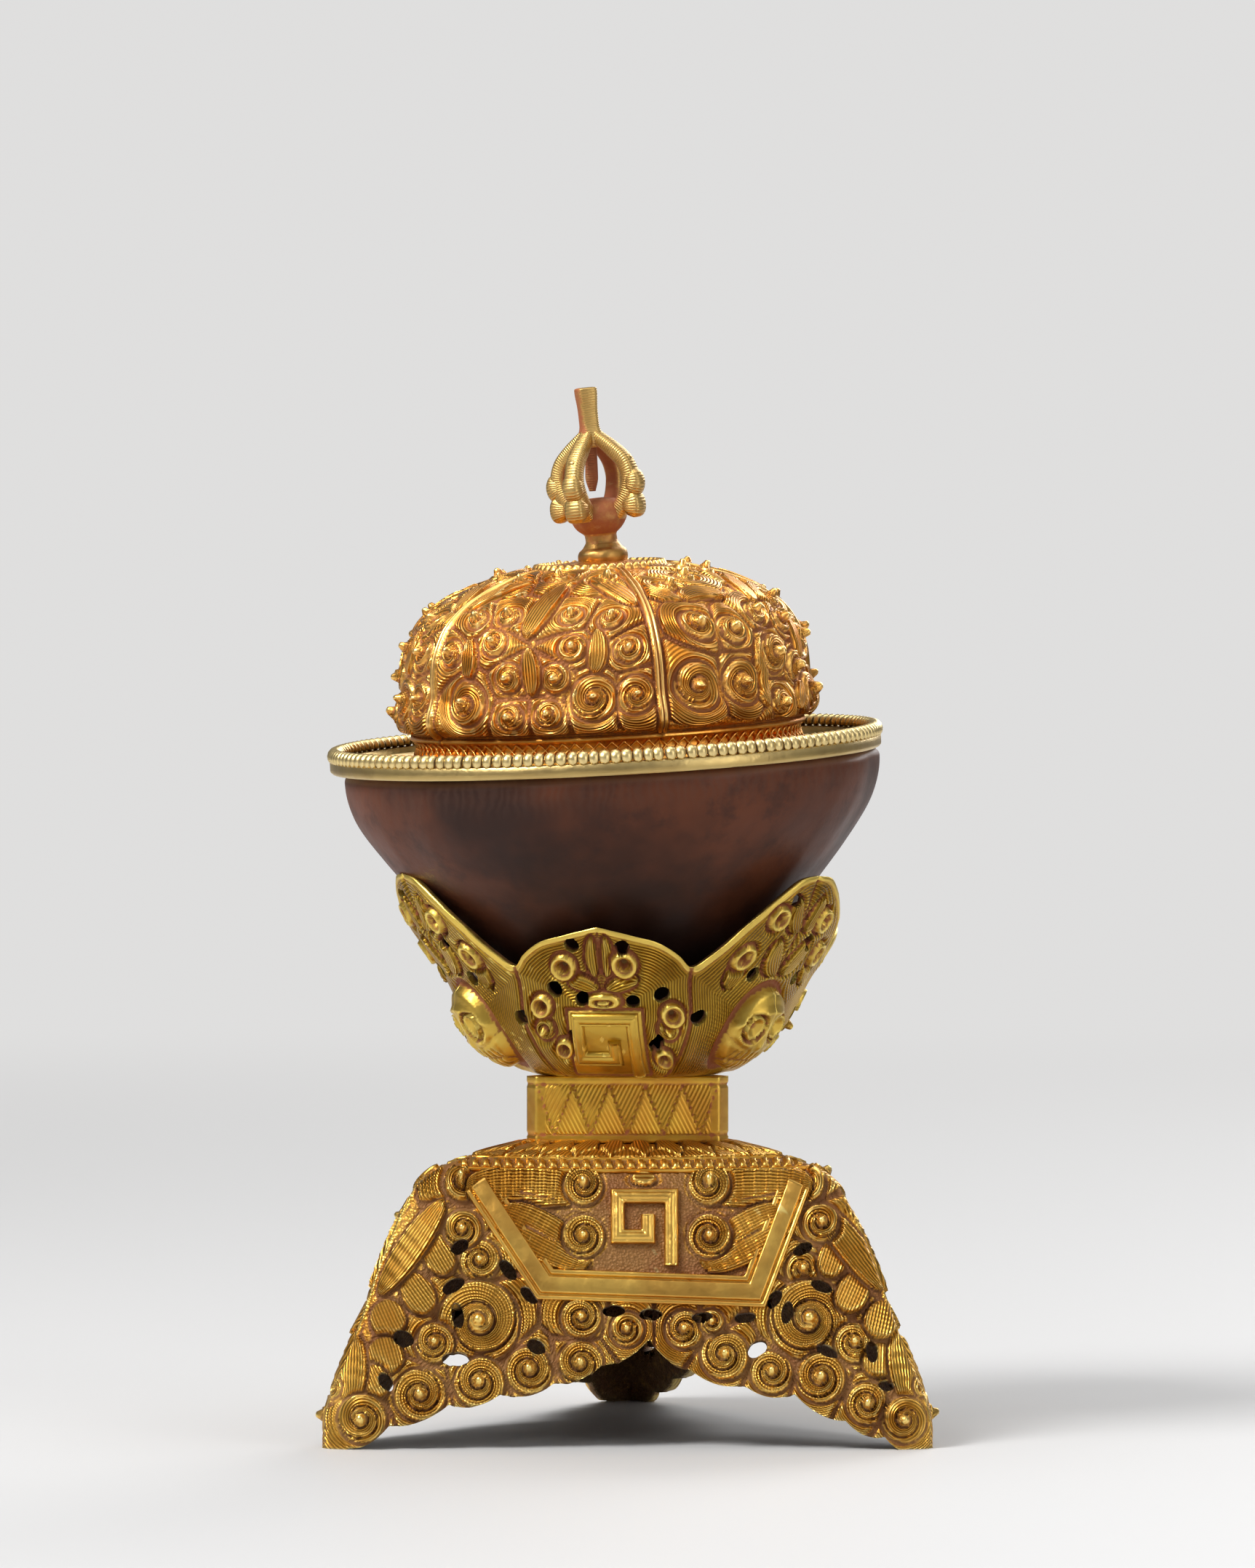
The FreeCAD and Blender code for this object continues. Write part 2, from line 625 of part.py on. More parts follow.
def make_rim_band():
    outer = RIM_RADIUS
    inner = outer - RIM_BAND_WALL
    opening = lid_radius(0.0) - LEDGE_LAP
    low = lip_height()
    points = [
        (outer, low), (outer, low + RIM_BAND_HEIGHT), (inner, low + RIM_BAND_HEIGHT),
        (inner, low + LEDGE_THICK), (opening, low + LEDGE_THICK), (opening, low),
    ]
    return hoop([[polar(r, 360.0 * k / RIM_SIDES, z) for r, z in points] for k in range(RIM_SIDES)], True)


def make_rim_beads():
    """Ring of beads that roll over the top of the band from its inside to its outside."""
    low = lip_height() + RIM_BAND_HEIGHT
    middle = RIM_RADIUS - RIM_BAND_WALL / 2
    half = RIM_BAND_WALL / 2
    steps = 2 * BEAD_COUNT
    sections = []
    for k in range(steps):
        groove = BEAD_GROOVE if k % 2 else 0.0
        bead = [(BEAD_LAP - half, 0), (BEAD_CROWN, BEAD_RISE - groove), (half + BEAD_LAP - groove, 0)]
        sections.append([polar(middle + r, 360.0 * k / steps, low + z) for r, z in bead])
    return hoop(sections)


# Lid

def lid_foot():
    return lip_height() + LEDGE_THICK


def lid_radius(height):
    return LID_RADIUS * value_at(LID_PROFILE, height / LID_HEIGHT)


def on_dome(degrees, height):
    """Point and outward direction on the lid."""
    place = polar(lid_radius(height), degrees, lid_foot() + height)
    above = polar(lid_radius(height + 1), degrees, lid_foot() + height + 1)
    outward = polar(1.0, degrees + 90, 0).cross(above - place)
    outward.normalize()
    return place, outward


def lid_outline(height, radius, ribs):
    """Ring of the lid: panels between narrow raised ribs."""
    step = 360.0 / len(LID_KINDS)
    points = []
    for k in range(len(LID_KINDS)):
        for share, rise in LID_RIB:
            r = radius * (RIB_RISE if rise and ribs else 1.0)
            points.append(polar(r, FIRST_RIB + step * (k + share), height))
    return points


def top_ring():
    """Raised ring round the foot of the finial."""
    share = TOP_RING_RADIUS / LID_RADIUS
    (low, wide), (high, narrow) = LID_PROFILE[-2:]
    z = lid_foot() + LID_HEIGHT * (low + (high - low) * (wide - share) / (wide - narrow))
    section = [(-TOP_RING_RISE, -TOP_RING_SINK), (0.0, TOP_RING_RISE), (TOP_RING_RISE, -TOP_RING_SINK)]
    sections = []
    for k in range(TOP_RING_SIDES):
        turn = 360.0 * k / TOP_RING_SIDES
        sections.append([polar(TOP_RING_RADIUS + r, turn, z + h) for r, h in section])
    return hoop(sections, True)


def make_lid():
    rings = []
    for height, radius in LID_PROFILE:
        ribs = LID_RIB_FOOT < height < LID_RIB_TOP
        rings.append(lid_outline(lid_foot() + height * LID_HEIGHT, LID_RADIUS * radius, ribs))
    outer = skin(rings)
    hollow = []
    for height, radius in LID_PROFILE[:1] + LID_PROFILE[3:7] + LID_PROFILE[8:]:
        z = lid_foot() + height * (LID_HEIGHT - LID_WALL)
        hollow.append(circle_points(LID_RADIUS * radius - LID_WALL, z, LID_HOLLOW_SIDES))
    hollow[0] = [point - FreeCAD.Vector(0, 0, CUT_OVERRUN) for point in hollow[0]]
    reliefs = []
    for k, (bosses, feathers) in enumerate(LID_KINDS):
        rib = FIRST_RIB + 360.0 / len(LID_KINDS) * k
        for degrees, height, radius in bosses:
            reliefs.append(scroll_boss(*on_dome(rib + degrees, height), radius))
        for degrees, height, length, width, turn in feathers:
            reliefs.append(feather(*on_dome(rib + degrees, height), length, width, turn))
    body = outer.cut(skin(hollow, True)).fuse(reliefs)
    bore = on_lid(tenon(TENON_RADIUS + TENON_CLEARANCE), FINIAL_OFF_CENTRE - LID_OFF_CENTRE)
    return body.fuse(top_ring()).cut(bore).removeSplitter()


# Finial

def tenon(radius):
    """Pin under the foot of the finial."""
    foot = circle_points(radius, TENON_HEAD - TENON_LENGTH, FINIAL_SIDES)
    head = circle_points(radius, TENON_HEAD, FINIAL_SIDES)
    return skin([foot, head], True)


def on_lid(shape, off_centre):
    """Stands the leaning finial on the low side of its foot."""
    copy = shape.copy()
    copy.rotate(FreeCAD.Vector(0, 0, 0), FreeCAD.Vector(0, 1, 0), -FINIAL_LEAN)
    lift = FINIAL_PROFILE[0][1] * math.sin(math.radians(FINIAL_LEAN))
    copy.translate(FreeCAD.Vector(off_centre, 0, lid_foot() + LID_HEIGHT + lift))
    return copy


def make_finial():
    rings = [circle_points(r, h * FINIAL_HEIGHT, FINIAL_SIDES) for h, r in FINIAL_PROFILE]
    solids = [skin(rings, True), tenon(TENON_RADIUS)]
    for k in range(PRONG_COUNT):
        turn = FINIAL_TURN + 360.0 * k / PRONG_COUNT
        prong = []
        for i, (r, h) in enumerate(PRONG_PATH):
            before = PRONG_PATH[max(i - 1, 0)]
            after = PRONG_PATH[min(i + 1, len(PRONG_PATH) - 1)]
            dr = after[0] - before[0]
            dz = (after[1] - before[1]) * FINIAL_HEIGHT
            length = math.hypot(dr, dz)
            half = PRONG_WIDTH / 2
            ring = []
            for a, b in PRONG_SECTION:
                point = polar(r + a * half * dz / length, turn, h * FINIAL_HEIGHT - a * half * dr / length)
                ring.append(point + polar(b * half, turn + 90, 0))
            prong.append(ring)
        solids.append(skin(prong))
        foot = polar(KNOB_OUT - KNOB_RADIUS, turn, KNOB_UP * FINIAL_HEIGHT)
        levels = [(share, rise * KNOB_RADIUS) for share, rise in KNOB_RINGS]
        solids.append(boss(foot, polar(1.0, turn, 0), KNOB_RADIUS, levels))
    corner = TIP_WIDTH / math.sqrt(2)
    bar = []
    for h, share in TIP_BAR:
        z = h * FINIAL_HEIGHT
        bar.append([polar(corner * share, FINIAL_TURN + 45 + 90 * k, z) for k in range(4)])
    solids.append(skin(bar))
    return on_lid(solids[0].fuse(solids[1:]), FINIAL_OFF_CENTRE)


def main():
    os.makedirs("parts", exist_ok=True)
    cup_solid = cup_body(0.0, 0.0)
    cup_hollow = cup_body(CUP_WALL, 1.0, 2)
    nodes = {
        "foot_shell": make_stand(),
        "neck_collar": make_neck(),
        "petal_crown": make_crown(leaning(cup_solid, CUP_OFF_CENTRE)),
        "skull_cup": leaning(cup_solid.cut(cup_hollow), CUP_OFF_CENTRE),
        "rim_band": leaning(make_rim_band()),
        "rim_beading": leaning(make_rim_beads()),
        "lid_dome": leaning(make_lid(), LID_OFF_CENTRE),
        "vajra_finial": leaning(make_finial()),
    }
    for name, shape in nodes.items():
        solid = shape.Solids[0]
        solid.translate(FreeCAD.Vector(0, -STAND_FORWARD, 0))
        print(name, solid.isValid(), len(shape.Solids), round(solid.Volume), solid.BoundBox)
        solid.exportStep(os.path.join("parts", name + ".step"))


main()
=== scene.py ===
import bpy
import math
import numpy as np
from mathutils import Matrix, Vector


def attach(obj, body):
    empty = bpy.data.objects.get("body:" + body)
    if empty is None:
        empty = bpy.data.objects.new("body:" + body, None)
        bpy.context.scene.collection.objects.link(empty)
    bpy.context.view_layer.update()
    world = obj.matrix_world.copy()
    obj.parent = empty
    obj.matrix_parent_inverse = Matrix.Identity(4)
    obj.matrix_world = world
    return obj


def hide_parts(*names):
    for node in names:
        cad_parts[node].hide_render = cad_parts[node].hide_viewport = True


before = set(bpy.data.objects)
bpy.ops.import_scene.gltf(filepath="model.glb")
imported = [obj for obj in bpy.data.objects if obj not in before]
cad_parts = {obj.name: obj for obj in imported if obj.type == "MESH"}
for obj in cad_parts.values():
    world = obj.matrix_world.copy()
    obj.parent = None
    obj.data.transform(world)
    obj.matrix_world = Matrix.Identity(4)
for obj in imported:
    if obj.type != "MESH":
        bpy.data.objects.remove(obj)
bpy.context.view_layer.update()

# Lengths are in millimetres up to the last step of each mesh, which writes metres.
MM = 0.001
FAR = 1e9
# The stand's axis lies this far in front of the origin
STAND_FORWARD = 4.2
# Spacing of the chased lines, depth of the carved ground below the solid's face, depth of the grooves
PITCH = 0.43
SINK = 0.35
DEEP = 0.32
# The stand and the crown repeat one face three times
SECTORS = ("front", "right", "left")
SECTOR_SPAN = 120.0

# Stand
STAND_HEIGHT = 41.2
STAND_REACH = 49.0
STAND_WALL = 1.3
# Depth of the rims of the drilled holes
STAND_RIM = 1.7
CORNER_POWER = 8.0
STAND_PROFILE = (
    (0.0, 0.992), (0.12, 0.984), (0.368, 0.886), (0.645, 0.790), (0.80, 0.724), (0.88, 0.674), (0.935, 0.590),
    (0.975, 0.460), (1.0, 0.350),
)
STAND_COLUMNS = 300
STAND_ROWS = 144
STAND_INNER_ROWS = 34
# Rings of the flat top, as shares of the distance from the axis to its edge
DECK_SHARES = (0.85, 0.5, 0.05)
# Lower edge of one face, in millimetres sideways and up: the scallops between the cusps
ARCH_CUSPS = (
    (-38.4, 0.2), (-32.8, 3.3), (-24.6, 6.2), (-17.4, 7.6), (-10.0, 9.2), (-3.4, 11.6), (3.0, 15.0),
    (8.4, 11.0), (16.0, 8.8), (23.0, 7.6), (30.0, 4.0), (35.4, 1.8), (39.2, 0.2),
)
SCALLOP_DROP = 0.95
STAND_STYLE = {"rise": 1.30, "carve": 0.70}
# Scrolls: sideways, up, radius, hand, angle at which the tail leaves
WEB_SCROLLS = (
    (-22.9, 36.6, 2.8, -1, 250), (-22.8, 30.0, 2.7, 1, 120), (-20.4, 25.8, 2.9, -1, 20),
    (-20.5, 17.4, 5.7, -1, 60), (-26.6, 14.6, 2.8, 1, 100), (-28.6, 7.6, 3.7, -1, 140),
    (-20.4, 9.2, 3.6, 1, 60), (-13.6, 10.9, 3.3, -1, 70), (-6.5, 11.8, 3.2, 1, 150),
    (-6.4, 18.0, 2.9, -1, 160), (-0.1, 16.4, 2.4, 1, 120), (-36.6, 4.3, 3.5, 1, 150),
    (24.8, 36.4, 2.8, 1, 290), (26.7, 30.9, 2.7, -1, 60), (24.2, 24.6, 2.5, -1, 30),
    (25.0, 17.7, 5.6, 1, 120), (31.2, 14.6, 2.8, -1, 80), (26.6, 9.9, 3.5, 1, 130),
    (19.8, 10.6, 3.0, -1, 120), (13.4, 12.9, 3.4, 1, 30), (7.8, 16.4, 2.7, 1, 60), (11.6, 17.4, 1.8, -1, 20),
    (33.0, 6.4, 3.0, -1, 60), (38.2, 4.1, 3.3, 1, 120), (-41.2, 8.6, 1.7, 1, 90), (41.2, 8.8, 1.7, -1, 90),
)
PANEL_SCROLLS = (
    (-6.1, 36.0, 2.8, -1, 165), (-6.1, 29.1, 3.0, 1, 160), (11.3, 36.2, 3.0, 1, 15),
    (11.3, 29.1, 3.1, -1, 15),
)
# Feathers: start, bend, end, half width, share of the length where it is widest
PANEL_FEATHERS = (
    ((-22.4, 35.4), (-14.5, 36.4), (-5.0, 35.4), 3.2, 0.45),
    ((-18.0, 32.0), (-13.4, 30.0), (-5.2, 25.4), 3.5, 0.5),
    ((25.6, 35.6), (18.0, 36.6), (9.8, 35.4), 3.2, 0.45),
    ((22.4, 31.8), (17.8, 30.0), (10.2, 25.2), 3.6, 0.5),
)
# Short red slits that split the feathers
PANEL_SLITS = (
    ((-14.8, 35.0), (-9.6, 34.0)), ((-14.0, 30.4), (-9.2, 28.0)), ((20.6, 34.8), (14.6, 33.8)),
    ((19.4, 30.6), (14.4, 27.8)),
)
RIDGE_FEATHERS = (
    ((-25.4, 34.0), (-28.6, 29.6), (-34.4, 21.0), 2.1, 0.6),
    ((25.4, 34.0), (29.6, 30.0), (35.2, 21.6), 2.1, 0.6),
    ((-37.6, 15.6), (-38.6, 11.0), (-38.0, 6.4), 2.4, 0.5),
    ((37.2, 16.0), (38.8, 11.4), (38.4, 6.8), 2.4, 0.5),
)
# Overlapping scales down the ridges: middle, half width, half length, turn
RIDGE_SCALES = (
    (-26.0, 26.4, 2.2, 2.9, 25.0), (-28.8, 21.0, 2.3, 2.9, 30.0), (-33.0, 17.6, 2.6, 2.4, 20.0),
    (-33.4, 12.6, 2.7, 2.4, 10.0), (-34.6, 9.2, 1.9, 2.2, 20.0), (28.4, 26.0, 2.2, 2.9, -25.0),
    (31.0, 21.2, 2.4, 2.9, -30.0), (35.0, 17.4, 2.5, 2.5, -20.0), (34.6, 12.0, 2.3, 2.2, -10.0),
)
PANEL_EDGE = ((-21.4, 39.6), (-22.0, 34.8), (-12.4, 21.0), (19.0, 20.0), (25.0, 35.4), (24.4, 39.6))
FRAME_PATH = ((-22.3, 34.9), (-12.5, 20.4), (19.0, 19.3), (25.2, 35.3))
# Section of the frame, inwards from its outer edge: distance and height
FRAME_SECTION = (
    (0.0, -0.6), (0.04, 0.70), (0.16, 0.82), (0.55, 0.82), (0.66, 0.55), (0.74, 0.30), (0.88, 0.30),
    (0.96, 0.88), (1.10, 1.02), (1.16, 1.03), (2.0, 1.10), (3.02, 1.03), (3.08, 1.02), (3.22, 0.88),
    (3.30, 0.20), (3.44, 0.15), (3.54, 0.50), (3.66, 0.60), (4.10, 0.60), (4.24, 0.48), (4.30, -0.6),
)
FRET_PATH = ((6.05, 25.0), (6.05, 34.45), (-1.35, 34.45), (-1.35, 29.0), (2.85, 29.0), (2.85, 31.9))
FRET_SECTION = (
    (-1.02, -0.6), (-0.98, 0.50), (-0.76, 0.86), (-0.70, 0.88), (-0.60, 0.90), (-0.52, 0.74), (-0.44, 0.92),
    (0.0, 0.98), (0.44, 0.92), (0.52, 0.74), (0.60, 0.90), (0.70, 0.88), (0.76, 0.86), (0.98, 0.50),
    (1.02, -0.6),
)
STAND_CORD_SECTION = ((-0.20, -0.5), (-0.18, 0.25), (-0.08, 0.42), (0.08, 0.42), (0.18, 0.25), (0.20, -0.5))
DENTIL_SECTION = (
    (-0.55, -0.5), (-0.50, 0.30), (-0.40, 0.58), (0.0, 0.64), (0.40, 0.58), (0.50, 0.30), (0.55, -0.5),
)
# Dentil row over the panel: its height in the middle, and how fast it rises sideways
BORDER_HEIGHT = 38.7
BORDER_RISE = 0.0006
# Drilled holes: sideways, up, half width, half height, turn in degrees
STAND_HOLES = (
    (-23.2, 27.6, 1.4, 0.9, 30), (-16.5, 24.5, 1.7, 0.85, -52), (-13.6, 21.0, 1.5, 0.8, -45),
    (-24.0, 22.3, 1.7, 0.95, 30), (-23.4, 18.2, 0.85, 1.8, 12), (-30.9, 15.1, 1.5, 1.1, -20),
    (-23.7, 12.4, 1.9, 0.9, 0), (-12.6, 14.0, 1.4, 1.0, -35), (-33.3, 9.3, 0.9, 1.4, 30),
    (-1.9, 18.9, 1.6, 0.8, 0), (3.2, 18.4, 1.6, 0.8, 0), (10.3, 18.0, 1.5, 0.75, 5),
    (16.2, 18.0, 1.5, 0.75, 5), (20.3, 20.5, 1.4, 0.85, 55), (24.2, 27.3, 1.5, 0.85, 30),
    (26.8, 22.2, 1.6, 0.85, -20), (22.0, 18.6, 0.8, 1.6, -12), (17.9, 13.8, 1.5, 1.0, 35),
    (27.5, 13.4, 1.6, 0.8, -25), (33.7, 13.3, 0.85, 1.6, 0), (35.6, 8.8, 1.2, 0.75, 0),
)

# Neck
NECK_HEIGHT = 9.2
NECK_FACE = 8.86
NECK_CORNER = 15.5
NECK_COLUMNS = 234
NECK_ROWS = 38
# Share of the height at which the two cut lines run, and their depth
NECK_LINES = (0.12, 0.88)
NECK_CUT = 0.22
NECK_TRIANGLES = 5.0
# The cut corners are narrower than this, the three broad faces wider
NECK_CORNER_FACE = 5.0

# Crown
CROWN_WALL = 1.0
CROWN_FLOOR = 2.6
CROWN_TURN = -8.0
CROWN_HEIGHT = 29.4
CROWN_REACH = 34.2
CROWN_PROFILE = (
    (0.0, 0.395), (0.026, 0.445), (0.085, 0.525), (0.195, 0.620), (0.46, 0.748), (0.745, 0.908), (1.0, 1.0),
)
CROWN_COLUMNS = 224
CROWN_ROWS = 108
CROWN_INNER_ROWS = 36
LOW_PETAL_HALF = 27.0
PETAL_VALLEY = 16.0
# Angle from the middle of the low petal, height of the edge
PETAL_EDGE = (
    (0.0, 21.7), (4.0, 21.2), (9.2, 20.5), (16.7, 19.4), (22.7, 17.6), (27.0, 16.0), (33.0, 17.9),
    (40.2, 21.7), (47.5, 25.2), (54.7, 28.0), (60.0, 28.4),
)
LOW_BOSSES = (
    (-11.0, 16.0, 2.0), (7.0, 16.4, 2.0), (-21.6, 10.4, 1.8), (23.5, 9.2, 1.9), (-17.5, 4.4, 1.5),
    (24.0, 2.9, 1.5),
)
TALL_BOSSES = ((-10.0, 22.6, 1.9), (9.0, 22.0, 1.9), (-17.0, 17.2, 1.9), (17.0, 17.2, 1.9))
LOW_HOLES = (
    (-7.1, 19.2, 1.05), (6.5, 18.9, 1.1), (-15.4, 12.9, 1.15), (19.0, 12.2, 1.15), (-30.9, 8.7, 1.1),
    (33.0, 8.9, 1.15), (-6.8, 11.4, 1.0), (9.8, 11.2, 1.0), (-11.6, 6.0, 1.15), (19.4, 5.0, 1.15),
)
TALL_HOLES = ((-6.0, 25.2, 1.05), (7.0, 19.0, 1.05), (-11.0, 14.8, 1.05), (12.0, 14.0, 1.05))
CROWN_FRET_PATH = ((3.85, 0.8), (3.85, 8.65), (-3.8, 8.65), (-3.8, 3.1), (1.1, 3.1), (1.1, 5.6))
PLAQUE_EDGE = ((-5.4, 0.3), (5.4, 0.3), (5.4, 9.9), (-5.4, 9.9))
MASK_MIDDLE = 7.2
# Feathers of the tall petal: start, bend and end, half width, rise
TALL_FEATHERS = (
    (((0.8, 14.6), (3.2, 16.4), (3.4, 19.8)), 1.6, 0.8), (((0.8, 20.6), (2.6, 22.0), (2.6, 25.6)), 1.4, 0.7),
    (((8.6, 12.8), (8.0, 15.4), (8.4, 18.0)), 1.6, 0.8),
)

# Leaning upper part
LEAN = 3.0
NOD = 2.1
PIVOT_X = -0.8
PIVOT_Z = 52.0
LIP = 42.6
CUP_DEPTH = 42.1
CUP_RADIUS = 37.6
CUP_WALL = 1.8
CUP_OFF_CENTRE = 0.7
CUP_COLUMNS = 288
CUP_ROWS = 84
CUP_INNER_ROWS = 24
CUP_PROFILE = (
    (0.0, 0.978), (0.012, 0.990), (0.03, 1.0), (0.148, 0.972), (0.309, 0.858), (0.475, 0.708), (0.75, 0.455),
    (0.94, 0.22), (0.985, 0.10), (1.0, 0.001),
)
RIM_RADIUS = 38.6
BAND_WALL = 1.5
BAND_HEIGHT = 1.8
LEDGE_THICK = 1.0
LEDGE_OPENING = 24.5
BEAD_COUNT = 160
BAND_COLUMNS = 320
LID_FOOT = 43.6
LID_HEIGHT = 26.9
LID_RADIUS = 28.6
LID_WALL = 1.1
LID_OFF_CENTRE = 0.5
FIRST_RIB = -74.5
LID_COLUMNS = 148
LID_ROWS = 148
LID_INNER_ROWS = 13
LID_STYLE = {"rise": 0.95, "carve": 0.50, "tip": 0.42, "ball": 0.38, "shrink": 0.34, "core": 0.66}
LID_CORD_SECTION = ((-0.17, -0.3), (-0.15, 0.50), (-0.06, 0.62), (0.06, 0.62), (0.15, 0.50), (0.17, -0.3))
LID_PROFILE = (
    (0.0, 0.955), (0.126, 0.962), (0.137, 0.979), (0.38, 1.0), (0.62, 0.956), (0.75, 0.868), (0.85, 0.725),
    (0.92, 0.555), (0.97, 0.365), (1.0, 0.125),
)
# Scrolls of the two kinds of panel: degrees from the left rib, height above the ledge, radius, hand, tail
CLOSE_SCROLLS = (
    (14.7, 8.9, 3.3, 1, 30), (29.6, 6.9, 2.1, -1, 90), (40.6, 7.2, 2.1, 1, 90), (53.3, 9.1, 3.3, 1, 150),
    (65.0, 9.3, 2.7, -1, 30), (28.6, 12.3, 2.2, 1, 300), (42.5, 12.1, 2.2, -1, 240), (7.0, 15.9, 2.1, 1, 240),
    (22.7, 17.2, 2.1, -1, 270), (47.6, 16.2, 2.1, 1, 270), (63.6, 15.7, 2.1, -1, 300),
    (24.6, 20.8, 1.9, 1, 270), (12.0, 20.4, 1.8, -1, 250), (59.4, 20.0, 1.9, -1, 280),
    (46.6, 20.6, 1.8, -1, 260), (11.0, 24.9, 1.8, 1, 200), (33.0, 25.3, 1.7, -1, 300),
    (60.0, 25.0, 1.8, -1, 240),
)
WIDE_SCROLLS = (
    (10.8, 9.9, 3.5, 1, 120), (25.8, 10.0, 3.3, -1, 60), (41.4, 13.5, 2.9, 1, 80), (40.0, 6.6, 2.2, 1, 90),
    (52.6, 11.4, 2.4, -1, 60), (14.9, 18.4, 2.6, 1, 300), (26.6, 17.4, 2.4, -1, 240),
    (40.6, 19.4, 2.0, -1, 260), (62.0, 7.6, 2.8, -1, 70), (64.4, 15.2, 2.3, -1, 300),
    (53.4, 17.8, 2.1, 1, 270), (63.0, 20.8, 1.8, -1, 280), (14.5, 23.6, 1.7, 1, 250),
    (30.0, 24.6, 1.7, -1, 250), (62.0, 25.0, 1.8, -1, 240), (46.0, 25.6, 1.5, 1, 200),
)
# Feathers: start, bend, end in degrees and height, half width in millimetres
CLOSE_FEATHERS = (
    ((33.0, 17.8), (35.6, 20.4), (40.8, 24.4), 1.9), ((35.6, 9.8), (36.2, 12.6), (34.4, 16.4), 1.5),
    ((3.0, 21.4), (7.0, 23.4), (20.0, 25.0), 1.4), ((69.0, 21.4), (64.0, 23.4), (52.0, 25.0), 1.4),
    ((53.4, 12.6), (56.0, 14.6), (55.0, 18.6), 1.5), ((14.6, 12.2), (15.6, 14.6), (13.4, 17.8), 1.5),
)
WIDE_FEATHERS = (
    ((15.0, 21.8), (22.0, 23.2), (33.0, 21.6), 1.9), ((46.0, 20.4), (50.6, 22.8), (58.0, 24.2), 1.6),
    ((33.4, 6.2), (33.4, 10.0), (35.0, 16.0), 1.5), ((56.6, 12.2), (58.6, 14.0), (58.0, 18.6), 1.4),
    ((48.6, 5.2), (50.4, 7.0), (54.6, 9.2), 1.3),
)
PANEL_SCROLL_KINDS = (CLOSE_SCROLLS, WIDE_SCROLLS)
PANEL_FEATHER_KINDS = (CLOSE_FEATHERS, WIDE_FEATHERS)
PANEL_KINDS = (1, 0, 1, 0, 0)
PANEL_SPAN = 72.0
# Half width of the rib between two panels, top of the plain foot, and how far below the lid's top the rope
# round it lies, with its half width
RIB_HALF = 0.66
FOOT_TOP = 3.6
ROPE_DOWN = 5.3
ROPE_HALF = 0.85

FINIAL_HEIGHT = 24.0
FINIAL_OFF_CENTRE = 1.1
FINIAL_LEAN = 3.0
FINIAL_TURN = -30.0
FINIAL_LIFT = 0.18
PRONG_COUNT = 4
# Turned forms: radius and height, share of pigment
FINIAL_FORMS = (
    (((3.30, -0.75), (3.50, 0.3), (3.30, 1.1), (2.75, 1.6), (2.35, 2.2)), 0.35),
    (((2.4, 2.0), (2.22, 2.6), (2.22, 3.2), (2.5, 3.8)), 0.5),
    (((2.3, 3.5), (3.2, 4.3), (3.85, 5.4), (3.95, 6.4), (3.6, 7.4), (2.6, 8.2), (1.2, 8.5)), 0.72),
)
# Bent forms: radius and height along the middle, half widths outwards and sideways, then the number of sides,
# how square they are, the pigment and painted shade along them and the number of steps
PRONG_PARTS = (
    (
        ((2.9, 6.0), (4.4, 7.6), (5.3, 9.2), (5.7, 11.2), (5.0, 13.4), (3.3, 15.2), (1.3, 16.9), (0.5, 18.0)),
        (
            (1.1, 1.35), (1.2, 1.30), (1.2, 1.25), (1.15, 1.20),
            (1.1, 1.20), (1.05, 1.15), (0.9, 1.0), (0.6, 0.8),
        ),
        20, 0.75, (0.3, 0.2, 0.0, 0.0, 0.0, 0.05, 0.3, 0.2), 8,
    ),
    (
        ((5.5, 5.6), (5.75, 6.2), (5.85, 7.2), (5.7, 8.2), (5.4, 8.7)),
        ((0.6, 0.8), (1.30, 1.35), (1.45, 1.45), (1.30, 1.30), (0.6, 0.7)), 16, 0.95,
    ),
    (
        ((5.6, 8.7), (6.0, 9.2), (6.35, 10.3), (6.3, 11.4), (6.0, 12.1)),
        ((0.5, 0.7), (1.20, 1.25), (1.35, 1.35), (1.05, 1.20), (0.35, 0.5)), 16, 0.55,
    ),
    (
        ((5.3, 12.6), (5.7, 13.1), (5.7, 13.7), (5.3, 14.1)),
        ((0.35, 0.5), (0.55, 0.7), (0.5, 0.65), (0.3, 0.4)), 12, 0.3,
    ),
)
# The pin within the prongs and the foot of the stem take heavy pigment and painted shade
FINIAL_PIN = (
    ((0.0, 17.6), (-0.2, 14.0), (-0.4, 11.5), (-0.5, 9.5)),
    ((0.8, 0.8), (0.85, 0.85), (0.9, 0.9), (0.45, 0.45)), 16, 0.6, (0.9, 0.8, 0.7, 0.7),
)
FINIAL_STEM = (
    (
        (0.0, 15.6), (0.0, 16.6), (0.0, 17.6), (0.0, 18.8), (0.0, 21.0),
        (0.0, FINIAL_HEIGHT - 0.7), (0.0, FINIAL_HEIGHT - 0.15), (0.0, FINIAL_HEIGHT),
    ),
    (
        (1.3, 1.3), (1.6, 1.6), (1.50, 1.50), (1.28, 1.28),
        (1.30, 1.30), (1.48, 1.48), (1.42, 1.42), (1.0, 1.0),
    ),
    24, 0.85, (0.5, 0.45, 0.3, 0.1, 0.0, 0.0, 0.0, 0.0),
)

# Stage, lamps and camera, in metres and degrees
STAGE_REACH = 4.0
STAGE_BACK = 2.2
STAGE_RISE = 3.0
STAGE_BEND = 0.9
LIT_POINT = (0.0, 0.0, 0.07)
# Name, place, size, power
LAMPS = (
    ("key", (-0.60, -0.48, 0.85), (0.40, 0.40), 13.0), ("fill", (0.75, -0.65, 0.35), (0.5, 0.7), 2.2),
    ("rear", (0.45, 0.85, 0.55), (0.5, 0.5), 5.0), ("top", (0.0, 0.05, 1.0), (0.8, 0.6), 3.2),
)
CAMERA_LENS = 266.2
CAMERA_AWAY = 1.300
CAMERA_HEIGHT = 0.125
CAMERA_DOWN = 1.4995


